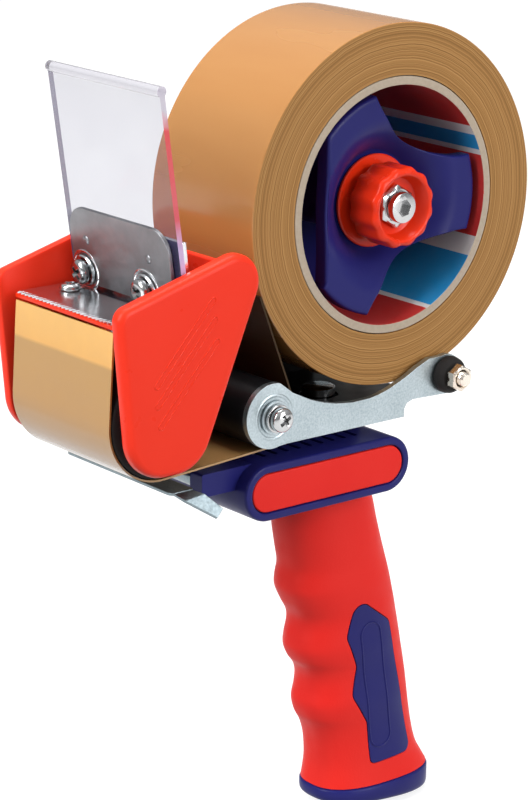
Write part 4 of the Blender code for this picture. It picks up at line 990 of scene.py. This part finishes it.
add("base_cap", *skin(foot), BLUE, "grip_base", "frame", "blue_plastic", sharp=45.0)

# ---------------------------------------------------------------- finger lever
lever = rounded([(-24.0, -91.9, 2.0), (30.6, -91.9, 2.0), (30.6, -83.3, 1.0), (14.0, -83.3, 1.0),
                 (14.0, -76.6, 1.5), (-3.0, -76.6, 1.5), (-3.0, -83.3, 1.0), (-24.0, -83.3, 2.0)], 8)
arm = [(-77.0, -76.0), (-77.0, -75.0), (-70.5, -76.9), (-69.4, -76.9), (-69.4, -78.2), (-70.6, -78.2)]
tab = [[(30.0, -91.0, -75.1), (30.0, -84.2, -75.1), (30.0, -84.2, -75.9), (30.0, -91.0, -75.9)],
       [(33.6, -89.0, -77.0), (33.6, -81.6, -76.2), (33.4, -81.2, -77.0), (33.2, -88.8, -77.9)],
       [(38.0, -80.0, -83.0), (38.2, -78.0, -80.4), (37.3, -77.6, -81.0), (37.0, -79.8, -83.8)]]
add("lever_sheet", *join(flat_body(lever, [], -76.0, -75.0, "Z"), flat_body(arm, [], -3.0, 14.0),
                         ring(-3.0, 14.0, 1.8, 3.1, along_x(*LEVER_AT)), skin(tab)),
    LEVER_ZINC, "finger_lever", "lever", "zinc_steel", bevel=0.2)
add("lever_hinge_pin", *turned([(-9.3, 1.2), (-9.0, 1.5), (18.2, 1.5), (18.5, 1.2)], along_x(*LEVER_AT), 48, False),
    STEEL, "lever_pin", "frame", "bright_steel")

# ---------------------------------------------------------------- floor, light, camera
scene = bpy.context.scene
floor_mesh = bpy.data.meshes.new("floor")
floor_mesh.from_pydata([(-9, -9, -0.0004), (9, -9, -0.0004), (9, 9, -0.0004), (-9, 9, -0.0004)], [], [(0, 1, 2, 3)])
floor_paint = Paint("pale_floor", (0.30, 0.30, 0.30), 0.75, 0.0, 0.1)
floor_paint.color(floor_paint.mix(floor_paint.noise(3.0), (0.29, 0.29, 0.29), (0.31, 0.31, 0.31)))
floor_paint.set("Emission Color", (1.0, 1.0, 1.0, 1.0))
floor_paint.set("Emission Strength", 0.80)
floor_mesh.materials.append(floor_paint.mat)
floor = bpy.data.objects.new("floor", floor_mesh)
scene.collection.objects.link(floor)
floor.visible_diffuse = False

# Pale wall all round the floor; it is only a background and gives no light
turn = [2.0 * math.pi * i / 96 for i in range(96)]
wall_mesh = bpy.data.meshes.new("backdrop")
wall_mesh.from_pydata([(8.5 * math.cos(a), 8.5 * math.sin(a), z) for z in (-0.3, 12.0) for a in turn], [],
                      [(i, (i + 1) % 96, 96 + (i + 1) % 96, 96 + i) for i in range(96)])
wall_paint = Paint("pale_backdrop", (0.10, 0.10, 0.10), 0.9, 0.0, 0.0)
wall_paint.color(wall_paint.mix(wall_paint.noise(1.5), (0.09, 0.09, 0.09), (0.11, 0.11, 0.11)))
wall_paint.set("Emission Color", (1.0, 1.0, 1.0, 1.0))
wall_paint.set("Emission Strength", 0.96)
wall_mesh.materials.append(wall_paint.mat)
wall = bpy.data.objects.new("backdrop", wall_mesh)
scene.collection.objects.link(wall)
wall.visible_diffuse = False
wall.visible_glossy = False
wall.visible_shadow = False

world = bpy.data.worlds.new("studio")
world.use_nodes = True
sky = world.node_tree
sky_dir = sky.nodes.new("ShaderNodeTexCoord")
sky_xyz = sky.nodes.new("ShaderNodeSeparateXYZ")
sky_ramp = sky.nodes.new("ShaderNodeValToRGB")
sky_ramp.color_ramp.elements[0].position = 0.0
sky_ramp.color_ramp.elements[0].color = (0.40, 0.40, 0.41, 1.0)
sky_ramp.color_ramp.elements[1].position = 0.75
sky_ramp.color_ramp.elements[1].color = (0.85, 0.85, 0.85, 1.0)
sky.links.new(sky_dir.outputs["Generated"], sky_xyz.inputs[0])
sky.links.new(sky_xyz.outputs[2], sky_ramp.inputs[0])
sky.links.new(sky_ramp.outputs[0], sky.nodes["Background"].inputs[0])
sky.nodes["Background"].inputs[1].default_value = 0.72
scene.world = world

az, el, tilt = math.radians(50.669), math.radians(16.246), math.radians(0.732)
away = Vector((math.sin(az) * math.cos(el), -math.cos(az) * math.cos(el), math.sin(el)))
right = (-away).cross(Vector((0.0, 0.0, 1.0))).normalized()
up = right.cross(-away)
cx = right * math.cos(tilt) + up * math.sin(tilt)
cy = up * math.cos(tilt) - right * math.sin(tilt)
view = Matrix((cx, cy, away)).transposed().to_4x4()
view.translation = Vector((0.6617, -0.5465, 0.3969))
cam_data = bpy.data.cameras.new("camera")
cam_data.sensor_width = 36.0
cam_data.lens = 126.0
cam = bpy.data.objects.new("camera", cam_data)
cam.matrix_world = view
scene.collection.objects.link(cam)
scene.camera = cam

CENTRE = Vector((0.0, -0.01, 0.16))


def softbox(name, offset, size, watts):
    data = bpy.data.lights.new(name, "AREA")
    data.shape = "RECTANGLE"
    data.size, data.size_y = size
    data.energy = watts
    ob = bpy.data.objects.new(name, data)
    ob.location = CENTRE + offset
    ob.rotation_euler = (CENTRE - ob.location).to_track_quat("-Z", "Y").to_euler()
    scene.collection.objects.link(ob)


level = Vector((away.x, away.y, 0.0)).normalized()
softbox("key", right * -0.9 + level * 0.7 + Vector((0, 0, 0.8)), (0.7, 0.9), 20.0)
softbox("fill", right * 1.1 + level * 0.7 + Vector((0, 0, 0.4)), (0.5, 0.9), 12.0)
softbox("top", Vector((0, 0, 1.3)) - level * 0.2, (0.8, 0.8), 12.0)
scene.view_settings.view_transform = "Standard"
